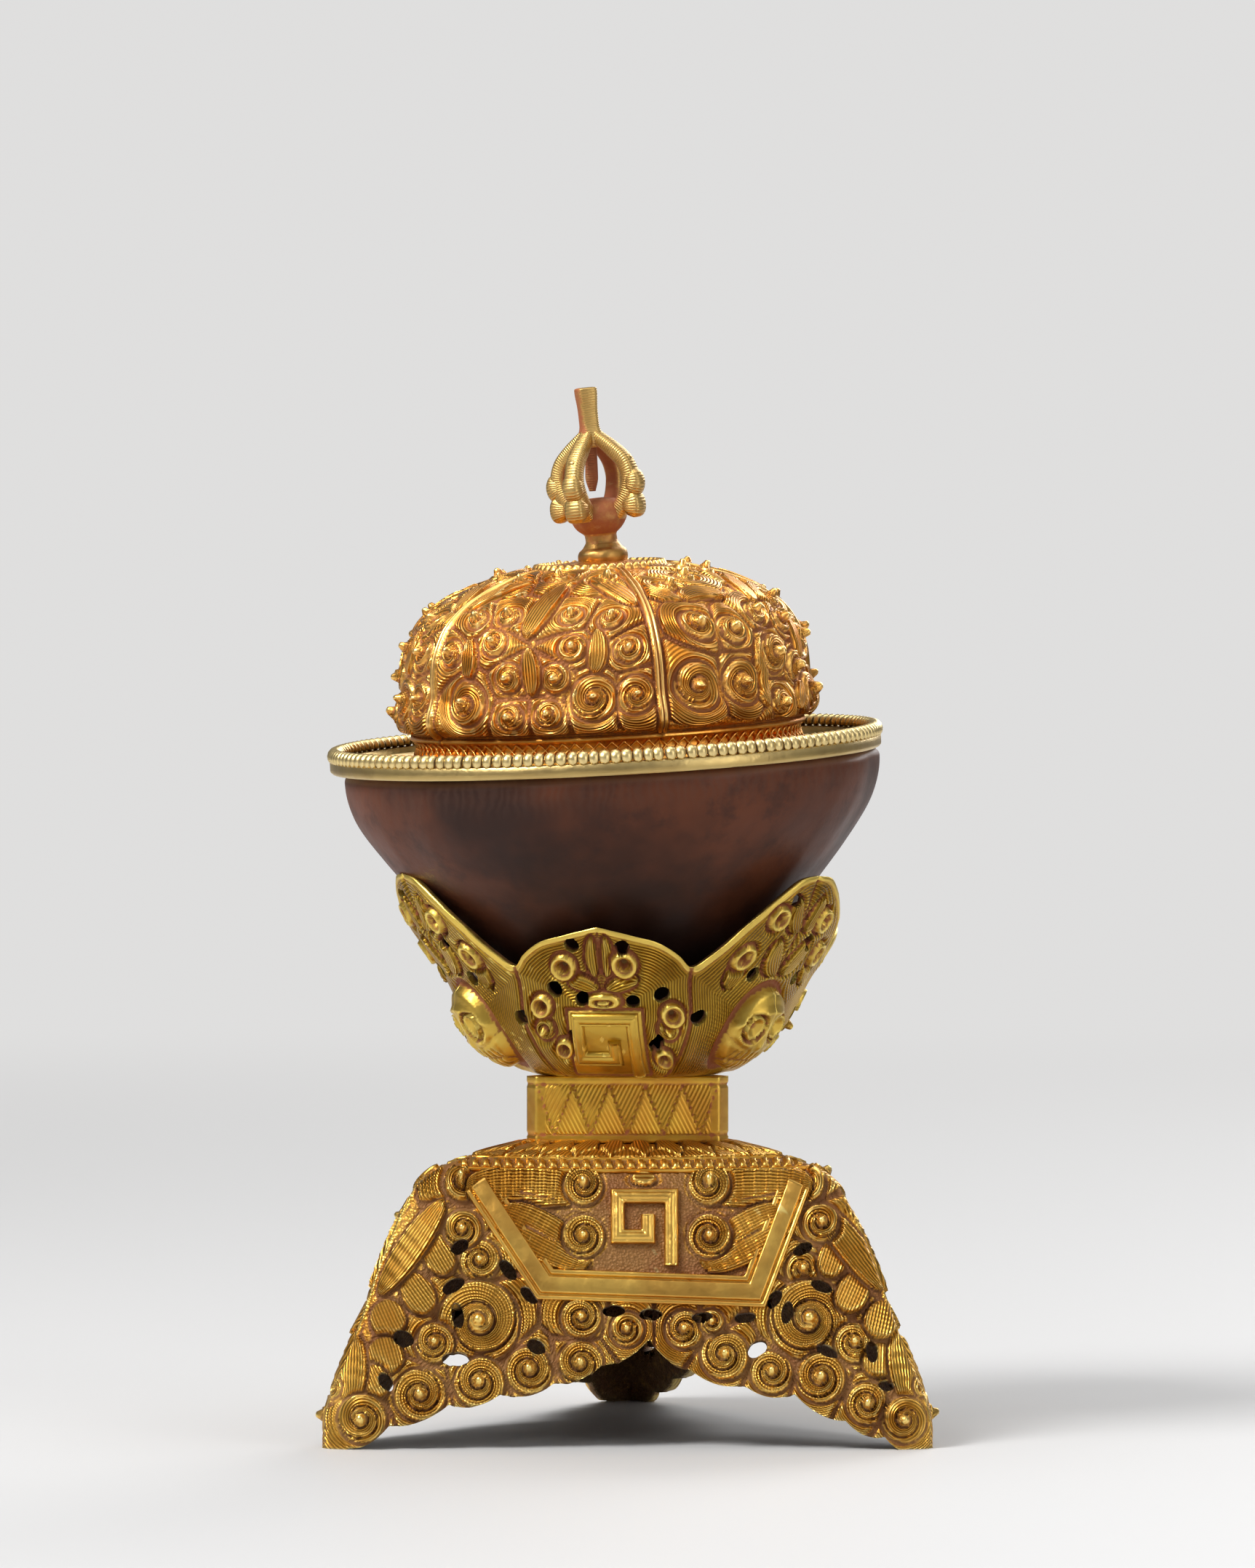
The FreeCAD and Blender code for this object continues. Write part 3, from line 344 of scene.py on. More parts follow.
# Numbers and points

def smooth(value):
    """Eases from 0 to 1 while the value goes from 0 to 1."""
    t = np.clip(value, 0.0, 1.0)
    return t * t * (3.0 - 2.0 * t)


def bell(value, width):
    return np.exp(-(value / width) ** 2)


def curve(at, value):
    """Smooth reading of values at rising places."""
    at, value = np.array(at, float), np.array(value, float)
    step = np.diff(value) / np.diff(at)
    slope = np.gradient(value, at)
    slope[1:-1][step[:-1] * step[1:] <= 0] = 0.0
    slope[[0, -1]] = step[[0, -1]]

    def read(x):
        x = np.clip(x, at[0], at[-1])
        i = np.clip(np.searchsorted(at, x, side="right") - 1, 0, len(at) - 2)
        h = at[i + 1] - at[i]
        t = (x - at[i]) / h
        return (
            (1 + 2 * t) * (1 - t) ** 2 * value[i] + t * (1 - t) ** 2 * h * slope[i]
            + t * t * (3 - 2 * t) * value[i + 1] + t * t * (t - 1) * h * slope[i + 1]
        )
    return read


def profile(pairs):
    return curve(*zip(*pairs))


def soften(field, times):
    """Averages a field with its neighbours; columns wrap round."""
    for step in range(times):
        up = np.vstack([field[1:], field[-1:]])
        down = np.vstack([field[:1], field[:-1]])
        field = (2 * field + up + down + np.roll(field, 1, axis=1) + np.roll(field, -1, axis=1)) / 6
    return field


def polygon_depth(corners, x, z):
    """Distance inside a polygon, negative outside."""
    inside = np.zeros(x.shape, bool)
    near = np.full(x.shape, FAR)
    for (x0, z0), (x1, z1) in zip(corners, corners[1:] + corners[:1]):
        dx, dz = x1 - x0, z1 - z0
        t = np.clip(((x - x0) * dx + (z - z0) * dz) / (dx * dx + dz * dz), 0, 1)
        near = np.minimum(near, np.hypot(x - x0 - t * dx, z - z0 - t * dz))
        if z0 != z1:
            inside ^= ((z0 > z) != (z1 > z)) & (x < x0 + (z - z0) * dx / dz)
    return np.where(inside, near, -near)


def running(across, up):
    """Length along a path at each of its points."""
    return np.concatenate([[0.0], np.cumsum(np.hypot(np.diff(across), np.diff(up)))])


def circle(count):
    """Angles spread evenly over a full turn."""
    return np.linspace(0, 2 * np.pi, count + 1)[:-1]


def around(radius, angle, height):
    """Points at a radius, an angle and a height about the upright axis."""
    return np.stack(np.broadcast_arrays(radius * np.cos(angle), radius * np.sin(angle), height), axis=-1)


def compass(angle):
    """Directions outwards, sideways and up at an angle round the upright axis."""
    c, s = math.cos(angle), math.sin(angle)
    return np.array([(c, s, 0.0), (-s, c, 0.0), (0.0, 0.0, 1.0)])


def spun(points, degrees, first=0, second=1):
    """Turns points from one axis towards another; round the upright axis where none is named."""
    c, s = math.cos(math.radians(degrees)), math.sin(math.radians(degrees))
    made = np.array(points)
    made[..., first] = points[..., first] * c - points[..., second] * s
    made[..., second] = points[..., first] * s + points[..., second] * c
    return made


def lean(points, off_centre=0.0):
    """Puts points drawn about the upright axis into the leaning upper part."""
    points = spun(points + np.array([off_centre, 0.0, 0.0]), NOD, 1, 2)
    return spun(points, -LEAN, 2, 0) + np.array([PIVOT_X, 0.0, PIVOT_Z])


def drawn_in(row, shares=(0.05,)):
    """Copies of a row of points, drawn in towards the upright axis."""
    return np.array([row * np.array([share, share, 1.0]) for share in shares])


def more_rows(field, before=0, after=0, **fill):
    """Field of a grid with rows added before and after it."""
    return np.pad(field, ((before, after),) + ((0, 0),) * (field.ndim - 1), **fill)


def normals(surface, u, v, step=0.02):
    """Outward direction of a surface at flat coordinates."""
    out = np.cross(surface(u + step, v) - surface(u - step, v), surface(u, v + step) - surface(u, v - step))
    return out / np.maximum(np.linalg.norm(out, axis=-1, keepdims=True), 1e-9)


def carved_face(surface, u, v, relief):
    """Surface raised by its relief, and its outward directions."""
    out = normals(surface, u, v)
    return surface(u, v) + out * (relief.height[..., None] - SINK), out


def pierce(u, v, holes, scale_at=None):
    """Moves grid points on to the rims of oval holes; returns the grid and which points lie within."""
    inside_any = np.zeros(u.shape, bool)
    rows, columns = u.shape
    for cu, cv, a, b, turn in holes:
        scale = scale_at(cv) if scale_at else 1.0
        c, s = math.cos(math.radians(turn)), math.sin(math.radians(turn))
        du, dv = (u - cu) * scale, v - cv
        p, q = du * c + dv * s, dv * c - du * s
        share = np.hypot(p / a, q / b)
        inside = share < 1.0
        core = inside.copy()
        for i in (0, 1, 2):
            for j in (0, 1, 2):
                core[1:-1, 1:-1] &= inside[i:rows - 2 + i, j:columns - 2 + j]
        rim = inside & ~core
        grow = np.where(rim, 1.0 / np.maximum(share, 0.05), 1.0)
        p, q = p * grow, q * grow
        u = np.where(rim, cu + (p * c - q * s) / scale, u)
        v = np.where(rim, cv + p * s + q * c, v)
        inside_any |= inside
    return u, v, inside_any


# Carving

class Relief:
    """Carving over flat coordinates: height, chased lines, stipple, painted highlight, pigment and painted
    shade.
    """

    def __init__(self, x, z):
        self.x, self.z = x, z
        for name in ("height", "phase", "tick", "cross", "chase", "bright", "groove"):
            setattr(self, name, np.zeros(x.shape))
        self.stipple = np.ones(x.shape)

    def add_pigment_and_shade(self, amount):
        """Lets at least so much pigment and painted shade stay."""
        self.groove = np.maximum(self.groove, amount)

    def lay(
        self, depth, height, phase=None, chase=1.0, bright=0.0, soft=0.45, groove=0.40, tick=None, cross=0.0,
    ):
        """Lays a form over what is there, cut free of it by a groove."""
        inside = smooth(depth / soft)
        around_it = np.where(depth < 0, bell(depth, groove), 1.0)
        self.height = self.height * (1 - around_it) - DEEP * (around_it - inside) + height * inside
        # The groove round each form takes pigment and painted shade
        self.groove = np.maximum(self.groove * (1 - around_it), 0.9 * bell(depth, 0.22))
        on = depth > 0
        if phase is not None:
            self.phase = np.where(on, phase, self.phase)
        if tick is not None:
            self.tick = np.where(on, tick, self.tick)
        self.cross = np.where(on, cross, self.cross)
        self.chase = np.where(on, chase * smooth(depth / 0.35), self.chase * (1 - around_it))
        self.stipple = np.where(on, 0.0, self.stipple)
        self.bright = np.where(on, bright, self.bright)

    def feather(self, start, bend, end, half, widest=0.5, rise=0.7, step=1.7, cross=0.0, blunt=0.5):
        """Long feather: dense parallel lines, broken where one length overlaps the next."""
        count = 33
        t = np.linspace(0, 1, count)
        cx, cz = [(1 - t) ** 2 * a + 2 * t * (1 - t) * b + t * t * c for a, b, c in zip(start, bend, end)]
        dx, dz = np.gradient(cx), np.gradient(cz)
        length = np.hypot(dx, dz)
        best = np.full(self.x.shape, FAR)
        where = np.zeros(self.x.shape)
        side = np.zeros(self.x.shape)
        for i in range(count):
            px, pz = self.x - cx[i], self.z - cz[i]
            away = px * px + pz * pz
            closer = away < best
            best = np.where(closer, away, best)
            run = (px * dx[i] + pz * dz[i]) / length[i]
            where = np.where(closer, t[i] + run / length[i] / (count - 1), where)
            side = np.where(closer, (px * dz[i] - pz * dx[i]) / length[i], side)
        rise_in = np.clip(where / widest, 0, 1)
        fall = np.clip((1 - where) / (1 - widest), 0, 1)
        width = half * np.where(where < widest, rise_in * (2 - rise_in), fall * (2 - fall)) ** blunt
        depth = np.where((where > 0) & (where < 1), width - np.abs(side), -np.sqrt(best))
        across = side / half
        run = where * np.sum(length)
        lap = (run / step + 0.25 * across) % 1.0
        height = rise * (0.72 + 0.28 * np.sqrt(np.clip(1 - across ** 2, 0, 1))) + 0.16 * lap - 0.10
        fan = side / np.maximum(width, 0.3) * half
        self.lay(depth, height, fan / PITCH, tick=run / 0.55, cross=cross)

    def scale_leaf(self, cx, cz, half, tall, turn):
        """Broad overlapping scale, striated down its length, its lower edge raised."""
        c, s = math.cos(math.radians(turn)), math.sin(math.radians(turn))
        p = (self.x - cx) * c + (self.z - cz) * s
        q = (self.z - cz) * c - (self.x - cx) * s
        depth = (1 - np.hypot(p / half, np.where(q > 0, q / (1.25 * tall), q / tall)) ** 1.3) * half
        lift = 0.85 - 0.50 * q / tall
        self.lay(depth, lift, p / PITCH + 0.25 * q, 1.0, 0.1, soft=0.35, groove=0.45, tick=q / 0.6, cross=0.3)

    def slit(self, start, end, wide=0.22):
        """Narrow pigment-filled cut."""
        dx, dz = end[0] - start[0], end[1] - start[1]
        t = np.clip(((self.x - start[0]) * dx + (self.z - start[1]) * dz) / (dx * dx + dz * dz), 0, 1)
        away = np.hypot(self.x - start[0] - t * dx, self.z - start[1] - t * dz)
        cut = bell(away, wide * (1.3 - t))
        self.height -= 0.5 * cut
        self.add_pigment_and_shade(cut)
        self.chase *= 1 - cut

    def scroll(self, cx, cz, radius, hand, tail, rise=0.85, ball=0.42, shrink=0.42, cross=0.0, lip=0.45,
               carve=0.62, tip=0.30, core=0.46):
        """Volute: a lined band that winds inwards and upwards to a cone with a ball on its tip."""
        dx, dz = self.x - cx, self.z - cz
        d = np.maximum(np.hypot(dx, dz), 1e-3)
        # Which turn of the spiral a point lies in, how far across its band and how far along it
        angle = hand * (np.arctan2(dz, dx) - math.radians(tail))
        turn = angle % (2 * math.pi) / (2 * math.pi)
        wind = np.log(d / radius) / math.log(shrink) - turn
        k = np.floor(wind)
        share = wind - k
        along = k + turn
        # The band rises to a cone in the middle
        size = 0.09 * radius + tip
        lead = smooth((along - 0.30) / 0.7)
        peak = rise + ball * radius
        band = rise * (0.52 + 0.20 * (along + 1.0) - 0.34 * share ** 2)
        cone = 0.8 * rise
        cone = cone + (peak - 0.3 * size - cone) * np.clip(1 - (d / (core * radius)) ** 1.15, 0, 1)
        height = band * (1 - lead) + np.maximum(cone, band) * lead
        # The groove between two turns, left out where the spiral starts and under the ball
        first = np.where((k < 0) | ((k == 0) & (share < 0.5)), smooth((turn - 0.04) / 0.12), 1.0)
        wide = (0.06 + 0.045 * radius) * (0.45 + 0.35 * (along + 1.0))
        pace = d * -math.log(shrink)
        cut = np.maximum(bell(pace * (1 - share), wide), bell(pace * share, 0.11))
        cut *= first * smooth((d / size - 0.95) / 0.3)
        height -= carve * rise * cut
        knob = np.sqrt(np.clip(1 - (d / size) ** 2, 0, 1))
        height = np.where(d < size, np.maximum(height, peak - size * (1 - knob)), height)
        height -= 0.22 * bell(d - 1.12 * size, 0.13)
        lines = max(3.0, round(radius * (1 - shrink) / 0.40))
        self.lay(radius - d, height, share * lines, 1.0, 0.3 * (d < size), soft=lip, groove=0.40,
                 tick=turn * 2 * math.pi * radius * 0.75 / 0.42, cross=cross)
        on = d < radius
        # Pigment and painted shade in the spiral groove and in the ring round the ball
        self.add_pigment_and_shade(np.where(on, 0.95 * np.maximum(cut, 0.64 * bell(d - 1.12 * size, 0.12)), 0.0))
        flank = bell(radius - d, 0.42)
        plain = smooth((1.5 - along) / 0.35) * (1 - 0.7 * flank) * smooth((d - size) / 0.3)
        self.chase *= np.where(on, (1 - cut) * plain, 1.0)
        # Painted highlight on the inner turns and on the rounded outer edge
        shine = np.maximum(0.4 * smooth((along - 0.9) / 0.3), 0.55 * flank)
        self.bright = np.where(on, np.maximum(self.bright, shine), self.bright)

    def pitted(self, cx, cz, radius):
        """Round boss with a bowl sunk in its top."""
        d = np.hypot(self.x - cx, self.z - cz)
        share = d / radius
        bowl = 0.18 + 0.82 * smooth((share - 0.22) / 0.42)
        crown = 1.0 - 0.25 * ((share - 0.78) / 0.22) ** 2
        self.lay(radius - d, 0.95 * np.minimum(bowl, crown), d / PITCH, 0.0, 0.5, soft=0.4, groove=0.35)
        # Pigment and painted shade in a ring round the sunk bowl
        self.add_pigment_and_shade(0.75 * bell(d - 0.52 * radius, 0.22))

    def web(self, scrolls, reach, level, ground=FAR, cross=0.0, **style):
        """Bands of chased lines that flow round each scroll, and the scrolls themselves."""
        first = np.full(self.x.shape, FAR)
        second = np.full(self.x.shape, FAR)
        for cx, cz, radius, hand, tail in scrolls:
            dx, dz = self.x - cx, self.z - cz
            swell = 1.0 + 0.28 * np.cos(np.arctan2(dz, dx) - math.radians(tail))
            share = (np.hypot(dx, dz) - radius) / swell
            second = np.where(share < first, first, np.minimum(second, share))
            first = np.minimum(first, share)
        depth = np.minimum(np.minimum((second - first) / 2, reach - first), ground)
        height = level * (0.62 + 0.38 * smooth(depth / 1.0)) + 0.10 * smooth(first / 1.5)
        self.lay(depth - 0.12, height, first / PITCH, soft=0.35, groove=0.32)
        self.cross = np.where(depth > 0.1, cross, 0.0)
        self.tick = np.where(depth > 0.1, (self.x + self.z) / 0.45, self.tick)
        for scroll in scrolls:
            self.scroll(*scroll, cross=cross * (scroll[2] > 2.6), **style)


CARVED = ("phase", "tick", "cross", "chase", "pigment_and_shade", "stipple", "bright", "hollow_shade")


def carved_values(relief, gain=1.0):
    """Point values of a carved sheet, with pigment and painted shade where the carving is sunk."""
    height = relief.height
    # Darker wherever the carving lies below its neighbours: painted shade in the recesses, with the pigment
    sunk = soften(height, 14) - height
    near = soften(height, 3) - height
    pigment_and_shade = gain * (
        0.9 * smooth(sunk * 1.8) + 0.5 * smooth(near * 5.0) + 0.5 * smooth((0.20 - height) / 0.25)
    )
    values = {name: getattr(relief, name) for name in CARVED if name not in ("pigment_and_shade", "hollow_shade")}
    values["pigment_and_shade"] = np.clip(np.maximum(pigment_and_shade, relief.groove), 0, 1)
    return values


# Meshes

def linked(name, data):
    """New object in the scene."""
    made = bpy.data.objects.new(name, data)
    bpy.context.scene.collection.objects.link(made)
    return made


class Solid:
    """Vertices, faces and point values of one piece, in millimetres."""

    def __init__(self, values=CARVED):
        self.points = []
        self.faces = []
        self.values = {name: [] for name in values}
        self.count = 0

    def add(self, points, faces, values=None):
        """Adds points with their faces and values; returns the number of the first point."""
        points = np.asarray(points, float).reshape(-1, 3)
        first = self.count
        self.points.append(points)
        self.faces += (np.asarray(faces, int).reshape(-1, 4) + first).tolist()
        for name, parts in self.values.items():
            parts.append(np.zeros(len(points)) + np.ravel((values or {}).get(name, 0.0)))
        self.count += len(points)
        return first

    def grid(self, points, values=None, drop=None, closed=True, inward=False):
        """Grid of rows and columns; returns the number of its first point."""
        rows, columns = points.shape[:2]
        i = np.arange(rows - 1)[:, None]
        j = np.arange(columns if closed else columns - 1)[None, :]
        k = (j + 1) % columns
        here, above = i * columns, (i + 1) * columns
        quads = np.stack([here + j, here + k, above + k, above + j], axis=-1)
        if drop is not None:
            quads = quads[~(drop[:-1][:, j[0]] & drop[:-1][:, k[0]] & drop[1:][:, k[0]] & drop[1:][:, j[0]])]
        return self.add(points, quads[..., ::-1] if inward else quads, values)

    def rod(self, points, values=None, flip=False):
        """Closed grid with a face on its first and its last row."""
        rows, columns = points.shape[:2]
        first = self.grid(points, values)
        for row, turn in ((0, not flip), (rows - 1, flip)):
            ring = list(range(first + row * columns, first + (row + 1) * columns))
            self.faces.append(ring[::-1] if turn else ring)

    def sheet(self, outer, values, inner, dull, drop=None, gap=None, ways=None, wall=0.0):
        """Closed sheet from an outer and an inner grid of like width, with rims round its holes."""
        (rows, count), deep = outer.shape[:2], len(inner)
        first = self.grid(outer, values, drop, closed=False)
        if drop is not None:
            self.sink_edges(first, drop, outer - ways * wall)
        under = self.grid(inner, dull, gap, closed=False, inward=True)
        for one, two in ((first, under), (under + (deep - 1) * count, first + (rows - 1) * count)):
            self.faces += [(one + j, two + j, two + j + 1, one + j + 1) for j in range(count - 1)]
        for side in (0, count - 1):
            loop = [first + i * count + side for i in range(rows)]
            loop += [under + i * count + side for i in range(deep)][::-1]
            self.faces.append(loop[::-1] if side else loop)

    def sink_edges(self, first, drop, sunk):
        """Gives the rims of dropped cells their thickness."""
        rows, columns = drop.shape
        full = np.zeros((rows + 1, columns), bool)
        full[1:rows, :-1] = drop[:-1, :-1] & drop[:-1, 1:] & drop[1:, 1:] & drop[1:, :-1]
        made = {}

        def deep(key):
            return made.setdefault(key, self.count + len(made))

        # Neighbour down and over, and the two corners of the side towards it
        sides = (
            (-1, 0, (0, 0), (0, 1)), (1, 0, (1, 1), (1, 0)), (0, -1, (1, 0), (0, 0)), (0, 1, (0, 1), (1, 1)),
        )
        for i, j in zip(*np.nonzero(full[1:rows])):
            for down, over, *ends in sides:
                if not full[i + down + 1, j + over]:
                    one, two = [int((i + di) * columns + j + dj) for di, dj in ends]
                    self.faces.append((first + one, first + two, deep(two), deep(one)))
        # The walls of the holes are painted dark as shade
        self.add(sunk.reshape(-1, 3)[list(made)], (), {"pigment_and_shade": 0.8, "hollow_shade": 0.8})

    def finish(self, name, material, slot, nodes, place=None):
        points = np.concatenate(self.points)
        if place is not None:
            points = place(points)
        points = points - np.array([0.0, STAND_FORWARD, 0.0])
        mesh = bpy.data.meshes.new(name)
        mesh.from_pydata((points * MM).tolist(), [], self.faces)
        for key, parts in self.values.items():
            layer = mesh.attributes.new(key, "FLOAT", "POINT")
            layer.data.foreach_set("value", np.concatenate(parts).astype(np.float32))
        mesh.polygons.foreach_set("use_smooth", [True] * len(mesh.polygons))
        mesh.materials.append(material)
        mesh.update()
        piece = linked(name, mesh)
        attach(piece, "root")
        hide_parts(*nodes)


def finish_sectors(solid, prefix, material, slot, nodes):
    """One piece for each of the three faces of the stand or of the crown."""
    for k, side in enumerate(SECTORS):
        solid.finish(prefix + side, material, slot, nodes, lambda points: spun(points, SECTOR_SPAN * k))


# Materials

class Shading:
    """Short calls for the shader nodes of a material or of the world."""

    def __init__(self, tree):
        self.tree = tree
        self.place = None

    def feed(self, socket, value):
        """Links an output to a socket, or sets the socket's own value."""
        if hasattr(value, "is_output"):
            self.tree.links.new(value, socket)
        else:
            socket.default_value = value

    def node(self, kind, **inputs):
        made = self.tree.nodes.new(kind)
        for key, value in inputs.items():
            self.feed(made.inputs[key], value)
        return made

    def maths(self, operation, a, b=0.0, clamp=False):
        made = self.node("ShaderNodeMath")
        made.operation = operation
        made.use_clamp = clamp
        self.feed(made.inputs[0], a)
        self.feed(made.inputs[1], b)
        return made.outputs[0]

    def times(self, a, b):
        return self.maths("MULTIPLY", a, b)

    def mix(self, factor, a, b):
        made = self.node("ShaderNodeMix")
        made.data_type = "RGBA"
        for number, value in ((0, factor), (6, a), (7, b)):
            self.feed(made.inputs[number], (*value, 1.0) if isinstance(value, tuple) else value)
        return made.outputs[2]

    def noise(self, scale, detail, rough=0.6):
        made = self.node("ShaderNodeTexNoise", Vector=self.place, Scale=scale, Detail=detail, Roughness=rough)
        return made.outputs[0]

    def spread(self, value, low, high):
        made = self.node("ShaderNodeMapRange")
        made.interpolation_type = "SMOOTHSTEP"
        for number, given in enumerate((value, low, high)):
            self.feed(made.inputs[number], given)
        return made.outputs[0]

    def attribute(self, name):
        made = self.node("ShaderNodeAttribute")
        made.attribute_name = name
        return made.outputs["Fac"]

    def bump(self, height, distance, strength, **after):
        made = self.node("ShaderNodeBump", Height=height, Distance=distance, Strength=strength, **after)
        return made.outputs[0]


def fresh_material(name):
    material = bpy.data.materials.new(name)
    material.use_nodes = True
    shading = Shading(material.node_tree)
    shading.place = shading.node("ShaderNodeTexCoord").outputs["Object"]
    return material, shading, material.node_tree.nodes["Principled BSDF"].inputs


def gilt(
    name, light, deep, worn, pigment, roughness=0.32, line_depth=0.00006, lines=True, pigment_and_shade_gain=0.82, shade=0.5,
):
    """Chased gilding with pigment and painted shade in the recesses, and a painted highlight in the worn
    colour on high places.
    """
    material, s, shader = fresh_material(name)
    fine = s.noise(900.0, 5.0, 0.7)
    chase = s.attribute("chase")
    wave = s.maths("SINE", s.times(s.attribute("phase"), 2 * math.pi))
    tick = s.maths("SINE", s.times(s.attribute("tick"), 2 * math.pi))
    cross = s.times(s.attribute("cross"), chase)
    cut = s.times(s.spread(wave, 0.45, -0.85), chase)
    cut = s.maths("MAXIMUM", cut, s.times(s.spread(tick, 0.2, -0.95), cross))
    gold = s.mix(s.spread(s.noise(90.0, 3.0), 0.38, 0.62), light, deep)
    # Painted highlight: the worn colour on the marked high places and, by pointiness, on convex edges
    gold = s.mix(s.times(s.attribute("bright"), 0.6), gold, worn)
    edge = s.node("ShaderNodeNewGeometry").outputs["Pointiness"]
    gold = s.mix(s.spread(edge, 0.51, 0.60), gold, worn)
    # The chased lines are painted darker: painted shade in their grooves
    gold = s.mix(s.times(cut, shade), gold, tuple(0.42 * c for c in deep))
    # Pigment and painted shade in the recesses, broken up by noise; the same mask dulls the metal
    patchy = s.maths("ADD", s.attribute("pigment_and_shade"), s.times(s.maths("SUBTRACT", fine, 0.5), 0.9))
    pigment_and_shade_mask = s.spread(patchy, 0.32, 0.80)
    gold = s.mix(s.times(pigment_and_shade_mask, pigment_and_shade_gain), gold, pigment)
    # Near-black painted shade on the walls of holes and on the inner faces
    s.feed(shader["Base Color"], s.mix(s.attribute("hollow_shade"), gold, (0.022, 0.010, 0.007)))
    s.feed(shader["Metallic"], s.maths("SUBTRACT", 1.0, s.times(pigment_and_shade_mask, 0.65)))
    rough = s.maths("ADD", s.times(fine, 0.22), roughness - 0.11)
    s.feed(shader["Roughness"], s.maths("ADD", rough, s.times(pigment_and_shade_mask, 0.30), clamp=True))
    normal = s.bump(s.noise(420.0, 3.0), 0.00016, 0.7)
    if lines:
        carved = s.maths("ADD", s.times(wave, chase), s.times(tick, s.times(cross, 0.6)))
        normal = s.bump(carved, line_depth, 1.0, Normal=normal)
    punched = s.node("ShaderNodeTexVoronoi", Vector=s.place, Scale=2600.0).outputs["Distance"]
    punched = s.times(punched, s.attribute("stipple"))
    s.feed(shader["Normal"], s.bump(punched, 0.00022, 0.9, Normal=normal))
    return material


def patina(name):
    """Dark mottled red-brown, satin, with faint tool marks, darker towards the foot as painted shade and with
    a painted highlight along the lip.
    """
    material, s, shader = fresh_material(name)
    broad = s.noise(34.0, 4.0, 0.55)
    small = s.noise(170.0, 6.0, 0.7)
    depth = s.attribute("depth")
    colour = s.mix(s.spread(broad, 0.34, 0.66), (0.026, 0.009, 0.005), (0.125, 0.034, 0.012))
    # Painted shade: darker towards the foot of the bowl
    colour = s.mix(s.spread(depth, 0.25, 0.75), colour, (0.009, 0.0045, 0.0035))
    colour = s.mix(s.times(s.spread(small, 0.46, 0.72), 0.55), colour, (0.022, 0.011, 0.009))
    stroke = s.node("ShaderNodeTexWave", Vector=s.place, Scale=260.0, Distortion=9.0, Detail=3.0)
    brushed = s.times(s.times(stroke.outputs["Fac"], s.spread(depth, 0.16, 0.03)), 0.25)
    colour = s.mix(brushed, colour, (0.085, 0.042, 0.027))
    # Painted highlight along the lip
    colour = s.mix(s.times(s.attribute("bright"), 0.5), colour, (0.20, 0.10, 0.06))
    s.feed(shader["Base Color"], colour)
    shader["Metallic"].default_value = 0.0
    shader["Specular IOR Level"].default_value = 0.20
    s.feed(shader["Roughness"], s.maths("ADD", s.times(small, 0.25), 0.34))
    normal = s.bump(broad, 0.0012, 0.35)
    s.feed(shader["Normal"], s.bump(s.noise(700.0, 4.0), 0.00006, 0.5, Normal=normal))
    return material


# Stand

def unit_outline():
    """Front third of the rounded three-sided outline, for a reach of one."""
    angles = np.radians(np.linspace(-60.0, 60.0, 1201))
    faces = (-SECTOR_SPAN, 0.0, SECTOR_SPAN)
    total = sum(np.maximum(0.0, np.cos(angles - math.radians(t))) ** CORNER_POWER for t in faces)
    share = 0.5 * (2 / total) ** (1 / CORNER_POWER)
    return share * np.sin(angles), share * np.cos(angles)


UNIT_X, UNIT_Y = unit_outline()
stand_share = profile(STAND_PROFILE)


def stand_reach(z):
    return STAND_REACH * stand_share(z / STAND_HEIGHT)


def stand_surface(x, z):
    """Point of the front face at a place across and a height."""
    reach = stand_reach(z)
    across = np.clip(x / reach, UNIT_X[0], UNIT_X[-1])
    y = -np.interp(across, UNIT_X, UNIT_Y) * reach
    return np.stack(np.broadcast_arrays(across * reach, y, z), axis=-1)


def arch_height(x):
    """Scalloped lower edge of a face."""
    cusps = np.array(ARCH_CUSPS)
    i = np.clip(np.searchsorted(cusps[:, 0], x) - 1, 0, len(cusps) - 2)
    t = np.clip((x - cusps[i, 0]) / (cusps[i + 1, 0] - cusps[i, 0]), 0, 1)
    arch = np.interp(x, cusps[:, 0], cusps[:, 1]) - SCALLOP_DROP * 4 * t * (1 - t)
    return np.where((x > cusps[0, 0]) & (x < cusps[-1, 0]), np.maximum(arch, 0.0), 0.0)


def stand_grid(rows):
    """Flat coordinates of one face, its columns evenly spread along the outline."""
    run = running(UNIT_X, UNIT_Y)
    columns = np.interp(np.linspace(0, run[-1], STAND_COLUMNS + 1), run, UNIT_X)
    heights = np.linspace(0.0, STAND_HEIGHT, 400)
    path = running(heights, 0.62 * stand_reach(heights))
    low = arch_height(columns * STAND_REACH * 0.97)
    for step in range(3):
        low = arch_height(columns * stand_reach(low))
    start = np.interp(low, heights, path)
    z = np.interp(start + (path[-1] - start) * np.linspace(0.0, 1.0, rows)[:, None], path, heights)
    return columns * stand_reach(z), z


def border_line(x):
    """Height of the dentil row over the panel."""
    return BORDER_HEIGHT + BORDER_RISE * x * x


